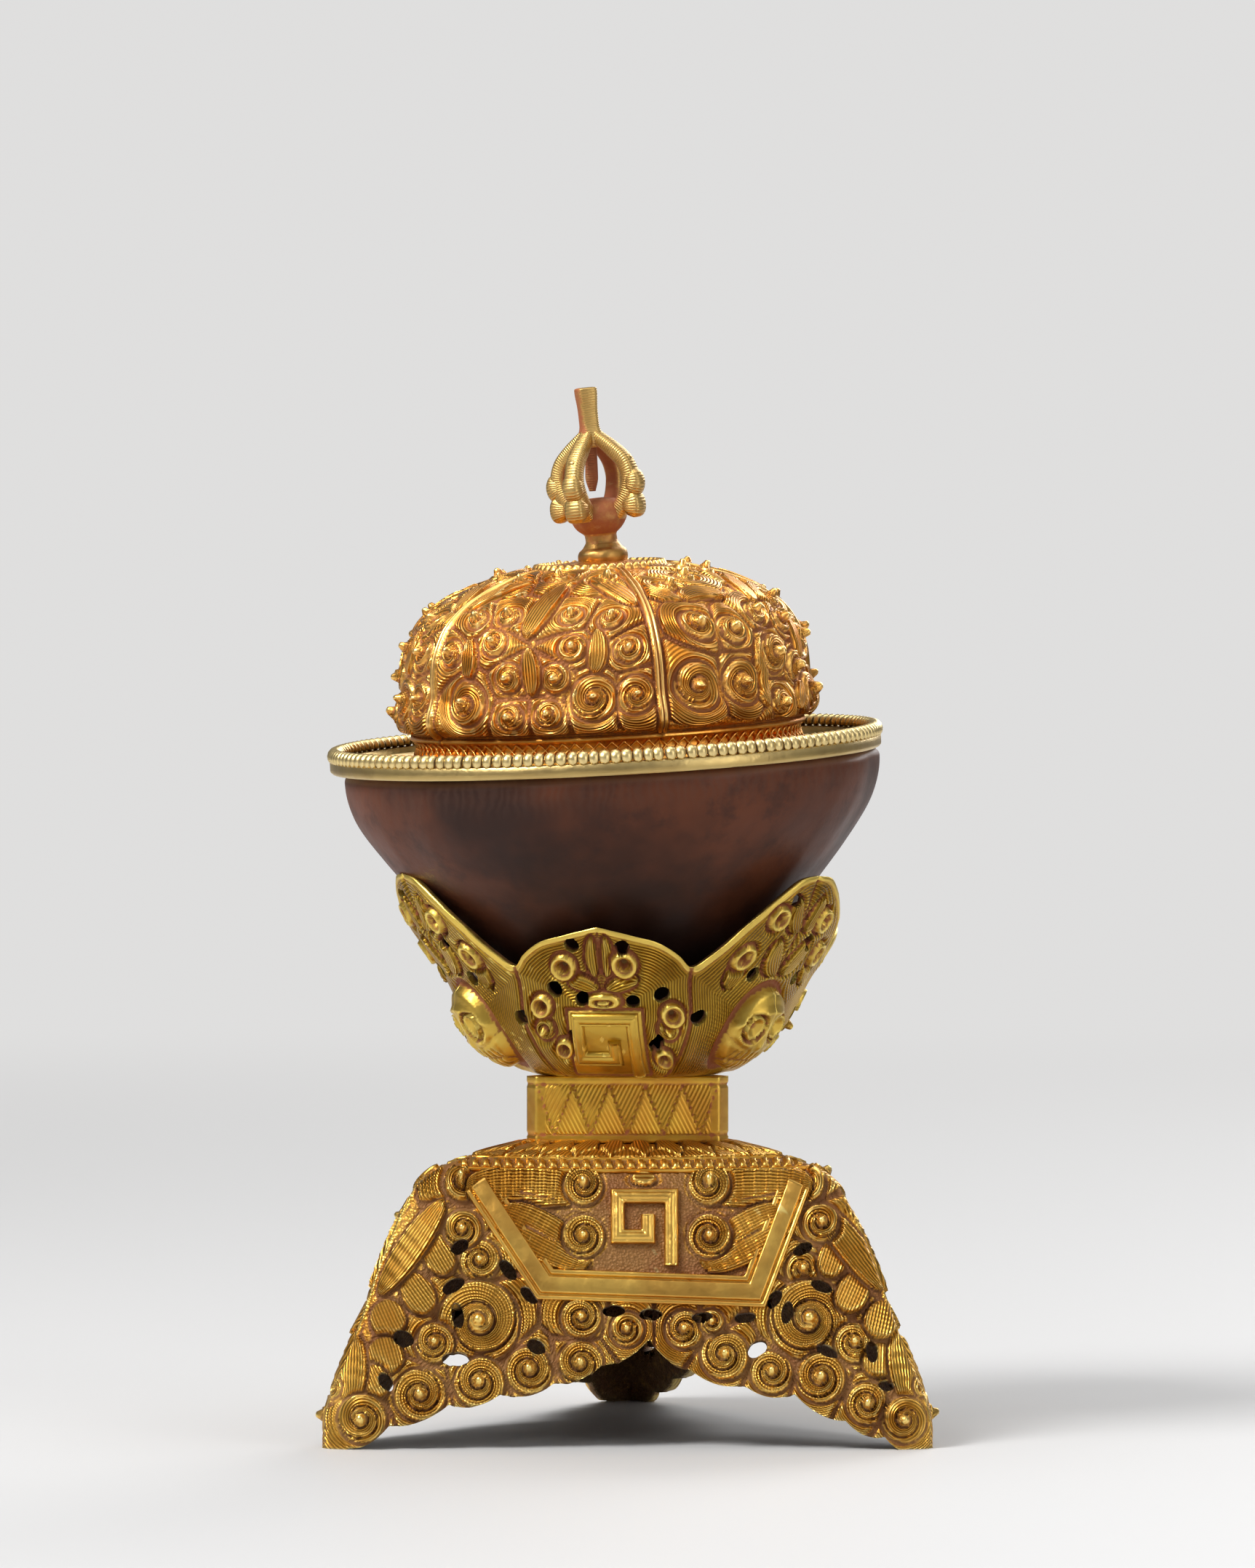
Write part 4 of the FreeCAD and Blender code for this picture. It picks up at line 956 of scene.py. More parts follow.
def stand_relief(x, z):
    """Carving of one face, from the web of scrolls up to the petals of the domed top."""
    r = Relief(x, z)
    r.web(WEB_SCROLLS, reach=3.4, level=0.45, cross=0.55, **STAND_STYLE)
    for leaf in RIDGE_SCALES:
        r.scale_leaf(*leaf)
    for leaf in RIDGE_FEATHERS:
        r.feather(*leaf, rise=0.75)
    for scroll in WEB_SCROLLS:
        if abs(scroll[0]) > 36 or scroll[1] > 29:
            r.scroll(*scroll, **STAND_STYLE)
    inside = polygon_depth(PANEL_EDGE, x, z)
    r.lay(inside, -0.05, None, 0.0, 0.0, soft=0.2, groove=0.1)
    r.stipple = np.where(inside > 0, 1.0, r.stipple)
    r.groove = np.where(inside > 0, 0.85, r.groove)
    for leaf in PANEL_FEATHERS:
        r.feather(*leaf, rise=0.70, cross=0.35, blunt=0.34)
    for start, end in PANEL_SLITS:
        r.slit(start, end)
    for scroll in PANEL_SCROLLS:
        r.scroll(*scroll, rise=1.15, cross=0.8, lip=0.35, carve=0.70)
    r.lay(1.5 - np.hypot((x - 2.2) * 0.75, (z - 36.9) * 1.5), 0.6, z / 0.5, 0.5, 0.4)
    border = border_line(x)
    above = z > border - 0.9
    r.lay(np.where(above, z - border + 0.9, -9.0), 0.1, None, 0.0, 0.2, soft=0.3)
    r.groove = np.where(above & (z < border + 1.0), 0.8, r.groove)
    domed_top(r, x, z, border + 0.9)
    # Ridges where two faces meet, and flatter carving at the ground and at the toes
    ends = smooth((np.abs(x) / stand_reach(z) - 0.8575) / 0.008)
    r.height = r.height * (1 - ends) + 0.45 * ends
    r.height *= 0.25 + 0.75 * smooth(z / 2.5)
    r.height *= 1 - 0.75 * smooth((np.abs(x) - 37.0) / 3.0) * smooth((15 - z) / 3)
    return r


def domed_top(r, x, z, start):
    """Overlapping petals in three rows."""
    reach = stand_share(z / STAND_HEIGHT)
    lift = (0.60 - reach) / 0.25
    for row, (low, tall, count) in enumerate(((0.42, 0.70, 9.0), (0.02, 0.62, 9.0), (-0.36, 0.58, 10.0))):
        across = x / (STAND_REACH * reach) / 1.732 * count + 0.5 * row
        place = (across % 1.0 - 0.5) * 2
        top = low + tall * (1 - np.abs(place) ** 2.4 * 0.7)
        depth = np.minimum((top - lift), (lift - low + 0.9)) * 8.0
        depth = np.where(z > start - 0.2, depth, -9.0)
        r.lay(depth, 0.62 - 0.14 * row + 0.15 * (1 - place ** 2), place * 4.2, 0.8, 0.1, soft=0.5, groove=0.4)


def ribbon(solid, path, section, surface, width=1.0, step=0.3, waves=None):
    """Moulded strip laid on a face along a mitred path; section gives distance to its left and height."""
    corners = np.array(path, float)
    ways = np.diff(corners, axis=0)
    lengths = np.linalg.norm(ways, axis=1)
    lefts = np.stack([-ways[:, 1], ways[:, 0]], axis=-1) / lengths[:, None]
    before = np.vstack([lefts[:1], lefts])
    mitres = before + np.vstack([lefts, lefts[-1:]])
    mitres /= np.sum(mitres * before, axis=1, keepdims=True)
    stations = np.hstack([corners, mitres])
    middle = []
    for here, there, length in zip(stations, stations[1:], lengths):
        share = np.linspace(0, 1, max(2, int(length / step)), endpoint=False)[:, None]
        middle.append(here + (there - here) * share)
    middle = np.vstack(middle + [stations[-1:]])
    across = np.array([s[0] for s in section]) * width
    high = np.array([s[1] for s in section])
    x = middle[:, :1] + middle[:, 2:3] * across
    z = middle[:, 1:2] + middle[:, 3:] * across
    height = np.broadcast_to(high, x.shape)
    if waves is not None:
        height = waves(running(middle[:, 0], middle[:, 1])[:, None], across, height)
    points = surface(x, z) + normals(surface, x, z) * (height[..., None] - SINK)
    # Low places of the section hold pigment and painted shade, high ones carry a painted highlight
    values = {"pigment_and_shade": smooth((0.20 - high) / 0.16), "bright": 0.35 * smooth((high - 0.4) / 0.2)}
    values = {key: np.broadcast_to(value, x.shape) for key, value in values.items()}
    solid.rod(points, values, flip=True)


def stand_ribbons(solid):
    """Frame and fret of the panel, and the dentil row between two cords above it."""
    def rough(run, across, height):
        worn = 0.030 * np.sin(run * 0.9 + across * 1.2) + 0.012 * np.sin(run * 2.3 + 1.0 + across)
        scored = 0.08 * bell((run + 0.15 * across) % 6.7 - 3.3, 0.09)
        return height + np.where(height > 0.25, worn - scored, 0.0)

    def blocks(run, across, height):
        wave = (run + 0.35 * across) % 1.55 / 1.55
        block = smooth((0.30 - np.abs(wave - 0.5)) / 0.06)
        wedge = 0.45 * smooth((0.08 - np.abs((wave + 0.5) % 1.0 - 0.5 + 0.25 * across)) / 0.05)
        return np.where(height > -0.2, height * np.maximum(block, wedge), height)

    ribbon(solid, FRAME_PATH, FRAME_SECTION, stand_surface, step=0.45, waves=rough)
    ribbon(solid, FRET_PATH, FRET_SECTION, stand_surface, waves=rough)
    line = [(x, float(border_line(x))) for x in np.linspace(-23.5, 26.0, 60)]
    for lift in (-0.72, 0.80):
        ribbon(solid, [(x, z + lift) for x, z in line], STAND_CORD_SECTION, stand_surface, step=0.5)
    ribbon(solid, line, DENTIL_SECTION, stand_surface, step=0.13, waves=blocks)


def make_stand(material):
    x, z, holes = pierce(*stand_grid(STAND_ROWS), STAND_HOLES)
    relief = stand_relief(x, z)
    face, out = carved_face(stand_surface, x, z, relief)
    ix, iz = stand_grid(STAND_INNER_ROWS)
    inner = stand_surface(ix, iz) - normals(stand_surface, ix, iz) * (STAND_WALL + SINK)
    inner[0, :, 2] = face[0, :, 2]
    gap = np.zeros(ix.shape, bool)
    for cx, cz, a, b, turn in STAND_HOLES:
        gap |= np.hypot(ix - cx, iz - cz) < max(a, b) + 0.9
    deck = len(DECK_SHARES)
    values = {}
    # The flat top takes pigment and painted shade; the inner sheet is painted dark as shade
    for key, value in carved_values(relief).items():
        values[key] = more_rows(value, after=deck, constant_values=0.6 if key == "pigment_and_shade" else 0.0)
    solid = Solid()
    solid.sheet(
        np.concatenate([face, drawn_in(face[-1], DECK_SHARES)]), values,
        np.concatenate([inner, drawn_in(inner[-1], DECK_SHARES)]),
        {"pigment_and_shade": 0.75, "stipple": 1.0, "hollow_shade": 0.55},
        more_rows(holes, after=deck), more_rows(gap, after=deck), more_rows(out, after=deck), STAND_RIM,
    )
    stand_ribbons(solid)
    finish_sectors(solid, "stand_", material, "stand_gilt", ["foot_shell"])


# Neck

def make_neck(material):
    """Three broad faces with cut corners, engraved with lined triangles between two cut lines."""
    half = (NECK_CORNER - NECK_FACE / 2) / math.cos(math.radians(30))
    corners = []
    for face in (-90.0, 30.0, 150.0):
        out, along = compass(math.radians(face))[:2, :2]
        corners += [NECK_FACE * out - half * along, NECK_FACE * out + half * along]
    corners = np.array(corners + corners[:1])
    side = np.linalg.norm(np.diff(corners, axis=0), axis=1)
    run = np.concatenate([[0.0], np.cumsum(side)])
    s = np.linspace(0, run[-1], NECK_COLUMNS + 1)[:-1]
    px, py = [np.interp(s, run, corners[:, k]) for k in (0, 1)]
    face = np.searchsorted(run, s, side="right") - 1
    along, wide = s - run[face], side[face]
    edge = np.minimum(along, wide - along)
    broad = wide > NECK_CORNER_FACE
    z = np.linspace(0.0, NECK_HEIGHT, NECK_ROWS)[:, None] * np.ones(NECK_COLUMNS)
    level = z / NECK_HEIGHT
    low, high = NECK_LINES
    within = (level > low) & (level < high)
    zigzag = low + (high - low) * np.abs(along / wide * np.where(broad, NECK_TRIANGLES, 1.0) % 1.0 - 0.5) * 2
    line = np.abs(level - zigzag) * NECK_HEIGHT
    cut = sum(bell((level - place) * NECK_HEIGHT, 0.16) for place in NECK_LINES)
    cut = np.clip(cut + broad * (within * bell(line, 0.30) + 0.8 * bell(edge - 0.9, 0.2)), 0, 1)
    below = (level < zigzag) & within & broad
    reach = 1 - NECK_CUT * cut / np.hypot(px, py)
    # The cut lines take pigment and painted shade, the band below the lower line is darker, and a painted
    # highlight grows towards the top
    values = {
        "pigment_and_shade": 0.9 * cut + 0.25 * smooth((low - level) / 0.1),
        "phase": (along * 0.9 + np.where(below, z, -z) * 0.45) / 0.55,
        "chase": within * broad * smooth((line - 0.3) / 0.3) * smooth((edge - 1.1) / 0.3) * 0.8,
        "bright": 0.2 * level,
    }
    solid = Solid()
    solid.rod(np.stack([px * reach, py * reach, z + STAND_HEIGHT], axis=-1), values)
    solid.finish("neck", material, "neck_gilt", ["neck_collar"])


# Crown

crown_share = profile(CROWN_PROFILE)
petal_edge = profile(PETAL_EDGE)


def crown_radius(level):
    return CROWN_REACH * crown_share(level / CROWN_HEIGHT)


def crown_surface(degrees, level):
    angle = np.radians(degrees - 90.0 + CROWN_TURN)
    return around(crown_radius(level), angle, level + STAND_HEIGHT + NECK_HEIGHT)


def crown_grid(rows):
    degrees = np.linspace(-60.0, 60.0, CROWN_COLUMNS + 1)
    share = np.linspace(0.0, 1.0, rows)[:, None] ** 0.92
    return degrees * np.ones((rows, 1)), petal_edge(np.abs(degrees)) * share


def crown_scale(level):
    """Millimetres across the sheet for one degree."""
    return math.radians(1.0) * float(crown_radius(level))


def crown_relief(u, v):
    """Petals, with angle and height turned to millimetres across the sheet."""
    radius = crown_radius(v)
    flat = np.radians(u) * radius
    r = Relief(flat, v)
    r.stipple *= 0.0
    # Distance from the wavy edge and from the seams between the petals
    seam = LOW_PETAL_HALF + 3.5 * smooth((PETAL_VALLEY - v) / 9.0)
    low = np.abs(u) < seam
    fine = np.linspace(0, 60, 121)
    drop = np.full(u.shape, FAR)
    for degrees, level in zip(fine, petal_edge(fine)):
        drop = np.minimum(drop, np.hypot(np.abs(flat) - degrees * crown_scale(level), v - level))
    split = np.where(v < PETAL_VALLEY, np.radians(np.abs(np.abs(u) - seam)) * radius, 9.0)
    r.height = 0.42 + 0.20 * smooth((2.2 - drop) / 2.0) + 0.14 * smooth((2.5 - split) / 2.0)
    r.height -= 0.50 * bell(split, 0.34) + 0.18 * bell(drop - 0.75, 0.14)
    # Pigment and painted shade in the seams between petals and in the groove along the edge
    r.add_pigment_and_shade(np.maximum(0.9 * bell(split, 0.40), 0.6 * bell(drop - 0.75, 0.14)))
    near = np.minimum(drop, split * 1.1 + 0.4)
    r.phase = np.where(low, near, near * 0.9 + 0.12 * np.abs(flat)) / PITCH
    r.tick = (v + 0.4 * np.abs(flat)) / 0.6
    r.cross = 0.45 * (1.0 - low) * smooth((np.abs(u) - 34) / 6)
    r.chase = 1.2 * smooth((drop - 0.8) / 0.3) * smooth(split / 0.4) * smooth(v / 1.5)
    # Painted highlight along the raised edge of the petals
    r.bright = 0.9 * smooth((0.8 - drop) / 0.3)
    # Low petal: leaves, scrolls, a boss and the plaque of the fret
    vein = (v > 12.0) & (v < 21.0)
    r.height -= 0.55 * bell(flat, 0.40) * vein
    r.add_pigment_and_shade(0.7 * bell(flat, 0.35) * vein)
    for hand in (-1, 1):
        r.feather((hand * 0.5, 12.6), (hand * 2.8, 14.0), (hand * 5.2, 14.3), 1.25, rise=0.75, step=9.0)
        r.feather((hand * 0.75, 14.4), (hand * 1.5, 17.0), (hand * 0.9, 20.4), 0.95, rise=0.6, step=9.0)
        r.scroll(hand * 8.9, 7.0, 1.7, hand, 90, rise=0.8)
    r.lay(1.9 - np.hypot(flat * 0.7, (v - 11.1) * 1.35), 0.70 + 0.35 * bell(flat, 0.9), None, 0.0, 0.6)
    r.lay(0.75 - np.hypot(flat * 0.7, (v - 11.0) * 1.7), 0.75, None, 0.0, 0.8, soft=0.25, groove=0.2)
    r.lay(polygon_depth(PLAQUE_EDGE, flat, v), 0.22, None, 0.0, 0.25, soft=0.3)
    for degrees, level, size in LOW_BOSSES:
        r.pitted(degrees * crown_scale(level), level, size)
    # Half of a tall petal on either side
    for hand in (-1, 1):
        r.x = (np.radians(u) - hand * math.radians(60.0)) * radius
        r.height -= 0.5 * bell(r.x, 0.5) * (v > 14.0)
        r.add_pigment_and_shade(0.7 * bell(r.x, 0.4) * (v > 14.0) * (v < 27.5))
        for ends, half, rise in TALL_FEATHERS:
            r.feather(*[(-hand * across, level) for across, level in ends], half, rise=rise, step=9.0)
        mask(r, r.x, v)
        for degrees, level, size in TALL_BOSSES:
            r.pitted(degrees * crown_scale(level), level, size)
    r.height = 0.30 + (r.height - 0.30) * smooth(drop / 0.6)
    r.height = 0.15 + (r.height - 0.15) * smooth(v / 0.8)
    return r


def mask(r, x, v):
    """Stylised skull: domed brow, two ringed eyes, nose and teeth."""
    up = v - MASK_MIDDLE
    inside = 1.0 - np.hypot(x / 5.5, up / 6.0)
    height = 2.4 * np.sqrt(np.clip(inside * 1.7, 0, 1)) + 0.25
    brow = bell(up - 3.1 + 0.10 * x * x, 0.45)
    jaw = (up < -2.2) & (up > -4.8) & (np.abs(x) < 3.2)
    cut = jaw * bell((x / 0.9) % 1.0 - 0.5, 0.16)
    lip = bell(up + 3.5, 0.18) * (np.abs(x) < 3.4)
    cheek = bell(up + 1.9 - 0.05 * x * x, 0.25) * (np.abs(x) > 1.2)
    height = height + 0.40 * brow - 0.40 * cut - 0.3 * lip - 0.25 * cheek
    r.lay(inside * 4.5, height, None, 0.0, 0.45, soft=0.7, groove=0.5)
    # Pigment and painted shade in the teeth, lip and cheek creases
    r.groove = np.where(inside > 0, np.maximum(cut, np.maximum(0.8 * lip, 0.5 * cheek)), r.groove)
    for side in (-1, 1):
        d = np.hypot(x - side * 2.2, up - 0.9)
        lift = 2.45 + 0.22 * bell(d - 1.45, 0.22) - 1.1 * bell(d, 1.05)
        r.lay(1.75 - d, lift, None, 0.0, 0.5, soft=0.3, groove=0.05)
        # Pigment and painted shade round each eye
        r.add_pigment_and_shade(0.7 * bell(d - 1.7, 0.13))
    r.height += 0.40 * bell(np.hypot(x * 1.3, up + 1.2), 0.6)


def crown_flat_surface(x, v):
    """Crown surface with millimetres across the sheet for the angle."""
    return crown_surface(np.degrees(x / (CROWN_REACH * crown_share(v / CROWN_HEIGHT))), v)


def make_crown(material):
    holes = [(degrees, level, size, size, 0.0) for degrees, level, size in LOW_HOLES]
    for degrees, level, size in TALL_HOLES:
        holes += [(60.0 * hand + degrees, level, size, size, 0.0) for hand in (-1, 1)]
    u, v, inside = pierce(*crown_grid(CROWN_ROWS), holes, crown_scale)
    relief = crown_relief(u, v)
    face, out = carved_face(crown_surface, u, v, relief)
    iu, iv = crown_grid(CROWN_INNER_ROWS)
    iv = np.maximum(iv, CROWN_FLOOR)
    inner = crown_surface(iu, iv) - normals(crown_surface, iu, iv) * CROWN_WALL
    inner[-1, :, 2] = face[-1, :, 2]
    gap = np.zeros(iu.shape, bool)
    for degrees, level, size, *rest in holes:
        gap |= np.hypot((iu - degrees) * crown_scale(level), iv - level) < size + 0.5
    # The drawn-in foot row takes some pigment and painted shade; the inside is painted dark as shade
    values = {key: more_rows(value, 1, constant_values=0.3) for key, value in carved_values(relief).items()}
    solid = Solid()
    solid.sheet(
        np.concatenate([drawn_in(face[0]), face]), values,
        np.concatenate([drawn_in(inner[0]), inner]), {"pigment_and_shade": 0.6, "hollow_shade": 0.7},
        more_rows(inside, 1), more_rows(gap, 1), more_rows(out, 1, mode="edge"), CROWN_WALL,
    )
    ribbon(solid, CROWN_FRET_PATH, FRET_SECTION, crown_flat_surface, width=0.9)
    finish_sectors(solid, "crown_", material, "crown_gilt", ["petal_crown"])


# Cup

def make_cup(material):
    """Bowl from its foot up to the lip and down again inside, slightly faceted by hand."""
    turn = circle(CUP_COLUMNS)
    even = np.ones(CUP_COLUMNS)
    read = profile(CUP_PROFILE)
    share = np.linspace(0, 1, CUP_ROWS)[::-1, None] ** 1.25
    facet = 0.16 * np.cos(11 * turn + 0.6 * np.sin(3 * turn)) + 0.10 * np.cos(17 * turn + 10 * share)
    facet *= smooth(share / 0.05) * smooth((1 - share) / 0.2)
    outer = around(CUP_RADIUS * read(share) + np.minimum(facet, 0.1) - 0.12, turn, LIP - CUP_DEPTH * share)
    within = np.linspace(0, 0.98, CUP_INNER_ROWS)[:, None]
    radius = np.maximum(CUP_RADIUS * read(within) - CUP_WALL * (1.0 - 0.8 * within), 0.3)
    inner = around(radius, turn, LIP - within * (CUP_DEPTH - CUP_WALL))
    # A painted highlight runs round the rounded lip; depth darkens the bowl downwards as painted shade
    values = {
        "bright": more_rows(bell(share - 0.018, 0.010) * even, after=CUP_INNER_ROWS),
        "depth": more_rows(share * even, after=CUP_INNER_ROWS, constant_values=0.6),
    }
    solid = Solid(("bright", "depth"))
    solid.rod(np.concatenate([outer, inner]), values)
    solid.finish("cup", material, "cup_patina", ["skull_cup"], lambda points: lean(points, CUP_OFF_CENTRE))


# Rim

def make_band(material):
    """Plain band with the ledge inside it; its lower edge wanders a little over the filed lip."""
    turn = circle(BAND_COLUMNS)
    wander = np.abs(0.07 * np.sin(9 * turn + 1.0) + 0.06 * np.sin(23 * turn) + 0.04 * np.sin(41 * turn + 2))
    r0, r1 = RIM_RADIUS, RIM_RADIUS - BAND_WALL
    rows = (
        (r0 - 0.35, 0.0, 0.0), (r0 - 0.05, 0.18, 1.0), (r0, 0.45, 0.3), (r0, BAND_HEIGHT - 0.2, 0.0),
        (r0 - 0.2, BAND_HEIGHT, 0.0), (r1 + 0.1, BAND_HEIGHT, 0.0), (r1, BAND_HEIGHT - 0.1, 0.0),
        (r1, LEDGE_THICK, 0.0), (LEDGE_OPENING + 0.2, LEDGE_THICK, 0.0),
        (LEDGE_OPENING, LEDGE_THICK - 0.2, 0.0), (LEDGE_OPENING, 0.0, 0.0), (r0 - 0.35, 0.0, 0.0),
    )
    solid = Solid()
    solid.grid(np.array([around(r, turn, LIP + z + wander * uneven) for r, z, uneven in rows]))
    solid.finish("rim_plate", material, "rim_gilt", ["rim_band"], lean)


def make_beads(material):
    """Rolled beads over the top of the band, each a short rib from its inside to its outside."""
    solid = Solid()
    base = LIP + BAND_HEIGHT
    middle = RIM_RADIUS - BAND_WALL / 2
    pitch = 2 * math.pi * middle / BEAD_COUNT
    path = np.linspace(-0.85, math.pi + 0.20, 10)
    ring = circle(8)
    # Painted shade on the sides of each bead, where it meets its neighbours
    shade_between_beads = 1.3 * smooth((np.abs(np.cos(ring)) - 0.72) / 0.25) * np.ones((len(path), 1))
    rng = np.random.default_rng(7)
    for k in range(BEAD_COUNT):
        out, side, up = compass(2 * math.pi * k / BEAD_COUNT + rng.normal(0, 0.0016))
        plump = 1.0 + rng.normal(0, 0.05)
        rows = []
        for t in path:
            fat = 0.535 * pitch * plump * (1.0 - 0.35 * ((t - 0.5) / 2.6) ** 2 - 0.2 * (t < -0.45))
            away = out * math.cos(t) + up * math.sin(t)
            centre = out * (middle + 0.50 * math.cos(t)) + up * (base + 0.60 + 0.60 * math.sin(t))
            rows.append(centre + (fat * np.cos(ring))[:, None] * side + (0.58 * np.sin(ring))[:, None] * away)
        solid.rod(np.array(rows)[:, ::-1], {"pigment_and_shade": shade_between_beads[:, ::-1]})
    solid.finish("rim_beads", material, "rim_gilt", ["rim_beading"], lean)


# Lid

lid_share = profile(LID_PROFILE)


def lid_radius(height):
    return LID_RADIUS * lid_share(height / LID_HEIGHT)


def lid_surface(degrees, height):
    return around(lid_radius(height), np.radians(degrees + FIRST_RIB), height + LID_FOOT)


def lid_grid(rows):
    heights = np.linspace(0.0, LID_HEIGHT, 600)
    path = running(heights, lid_radius(heights))
    z = np.interp(np.linspace(0, path[-1], rows), path, heights)
    return np.meshgrid(np.linspace(0.0, PANEL_SPAN, LID_COLUMNS + 1), z)


def lid_relief(u, v, kind):
    """Carving of one panel, over degrees from its left rib and height, turned to millimetres."""
    radius = lid_radius(v)
    slope = np.gradient(radius, axis=0) / np.maximum(np.gradient(v, axis=0), 1e-4)
    climb = np.cumsum(np.hypot(1.0, slope) * np.gradient(v, axis=0), axis=0)
    scale = math.radians(1.0) * radius
    half = PANEL_SPAN / 2

    def place(degrees, level):
        near = math.radians(1.0) * float(lid_radius(level))
        return (degrees - half) * near, float(np.interp(level, v[:, 0], climb[:, 0]))

    r = Relief((u - half) * scale, climb)
    rib = (half - np.abs(u - half)) * scale
    scrolls = [(*place(degrees, level), *rest) for degrees, level, *rest in PANEL_SCROLL_KINDS[kind]]
    r.web(scrolls, reach=3.6, level=0.40, ground=np.minimum(v - 3.9, rib - 0.72), **LID_STYLE)
    for start, bend, end, wide in PANEL_FEATHER_KINDS[kind]:
        r.feather(place(*start), place(*bend), place(*end), wide, step=9.0)
    for scroll in scrolls:
        if scroll[2] > 2.5:
            r.scroll(*scroll, **LID_STYLE)
    # Rib between two panels
    depth = np.where(v > FOOT_TOP, RIB_HALF - rib, -9.0)
    r.lay(depth, 0.50 - 0.30 * bell(rib, 0.15), None, 0.0, 0.15, soft=0.2, groove=0.3)
    # Pigment and painted shade along the rib
    r.groove = np.where(depth > 0, 0.9 * bell(rib, 0.13), r.groove)
    # Plain foot, which carries the trim
    foot = v < FOOT_TOP - 0.05
    r.height[foot] = 0.22
    for field in (r.chase, r.stipple, r.cross):
        field[foot] = 0.0
    r.groove = np.where(foot, 0.42 * (v > 0.9), r.groove)
    r.bright[foot] = 0.1
    r.height -= 0.5 * bell(v - FOOT_TOP, 0.16)
    # Pigment and painted shade in the groove above the foot
    r.add_pigment_and_shade(0.8 * bell(v - FOOT_TOP - 0.02, 0.18))
    # Rope and plain ground round the finial's foot
    from_top = climb[-1, 0] - climb
    roped = np.abs(from_top - ROPE_DOWN)
    twist = np.abs((u / PANEL_SPAN * 9.0 + 0.25 * (from_top - 5.2)) % 1.0 - 0.5) * 2
    r.lay(ROPE_HALF - roped, 0.35 + 0.40 * (1 - twist ** 2), None, 0.0, 0.5, soft=0.5)
    # Pigment and painted shade between the twists of the rope
    r.groove = np.where(roped < ROPE_HALF, 0.8 * smooth((twist - 0.75) / 0.2), r.groove)
    inside = from_top < ROPE_DOWN - 1.0
    r.height[inside] = 0.25
    r.chase[inside] = 0.0
    return r


def lid_trim(solid):
    """Crossed zigzag lines and a plain cord round the foot."""
    near = float(lid_radius(2.0))
    half = math.radians(PANEL_SPAN / 2) * near
    count = 10

    def surface(x, v):
        return lid_surface(np.degrees(x / near) + PANEL_SPAN / 2, v)

    for hand in (0, 1):
        path = [(-half + half * i / count, (1.15, 2.95)[(i + hand) % 2]) for i in range(2 * count + 1)]
        ribbon(solid, path, LID_CORD_SECTION, surface, step=0.6)
    for level in (0.80, 3.35):
        ribbon(solid, [(-half, level), (0.0, level), (half, level)], LID_CORD_SECTION, surface, step=0.8)


def make_lid(material):
    u, v = lid_grid(LID_ROWS)
    iu, iv = lid_grid(LID_INNER_ROWS)
    inner = lid_surface(iu, np.minimum(iv, LID_HEIGHT - 0.01)) - normals(lid_surface, iu, iv) * LID_WALL
    inner[0, :, 2] = LID_FOOT
    kinds = []
    for kind in (0, 1):
        relief = lid_relief(u, v, kind)
        face, out = carved_face(lid_surface, u, v, relief)
        values = carved_values(relief, 0.7)
        values = {key: more_rows(value, after=1, mode="edge") for key, value in values.items()}
        solid = Solid()
        # The inside takes pigment and painted shade
        solid.sheet(
            np.concatenate([face, drawn_in(face[-1])]), values,
            np.concatenate([inner, drawn_in(inner[-1])]), {"pigment_and_shade": 0.5},
        )
        lid_trim(solid)
        kinds.append(solid)
    for k, kind in enumerate(PANEL_KINDS):
        kinds[kind].finish(
            "lid_panel_" + str(k + 1), material, "lid_gilt", ["lid_dome"],
            lambda points: lean(spun(points, PANEL_SPAN * k), LID_OFF_CENTRE),
        )


# Finial

def tube(solid, turn, path, widths, sides, square, pigment_and_shade=(0.0, 0.0), dense=6):
    """Closed tube along a bent middle line in an upright plane at an angle."""
    out, side, up = compass(math.radians(turn))
    t = np.linspace(0, 1, len(path))
    fine = np.linspace(0, 1, dense * len(path))
    r, z, wide_out, wide_side = [curve(t, column)(fine)[:, None] for column in (*zip(*path), *zip(*widths))]
    dr, dz = np.gradient(r, axis=0), np.gradient(z, axis=0)
    length = np.maximum(np.hypot(dr, dz), 1e-6)
    ring = circle(sides)
    c, s = [np.sign(wave) * np.abs(wave) ** (1.0 - 0.55 * square) for wave in (np.cos(ring), np.sin(ring))]
    normal = (out * dz - up * dr) / length
    points = (out * r + up * z)[:, None] + (wide_out * c)[..., None] * normal[:, None]
    points = points + (wide_side * s)[..., None] * side
    # Sides facing inwards take pigment and painted shade, sides facing out a painted highlight
    facing = np.clip(-np.cos(ring), 0, 1) * np.ones((len(fine), 1))
    given = np.interp(fine, np.linspace(0, 1, len(pigment_and_shade)), pigment_and_shade)[:, None]
    solid.rod(points, {
        "pigment_and_shade": np.clip(facing * 0.75 + given, 0, 1),
        "phase": np.cumsum(length)[:, None] / 0.33 * np.ones(sides),
        "chase": 0.35 * (1 - facing), "bright": 0.8 * (1 - facing),
    })


def turned_form(solid, pairs, pigment_and_shade):
    """Turned form through radius and height pairs, slightly worn."""
    t = np.linspace(0, 1, len(pairs))
    fine = np.linspace(0, 1, 8 * len(pairs))
    r, z = [curve(t, column)(fine)[:, None] for column in zip(*pairs)]
    turn = circle(64)
    worn = 1 + 0.012 * np.sin(3 * turn + z) + 0.010 * np.sin(7 * turn - 2 * z)
    solid.rod(around(r * worn, turn, z), {"pigment_and_shade": pigment_and_shade})


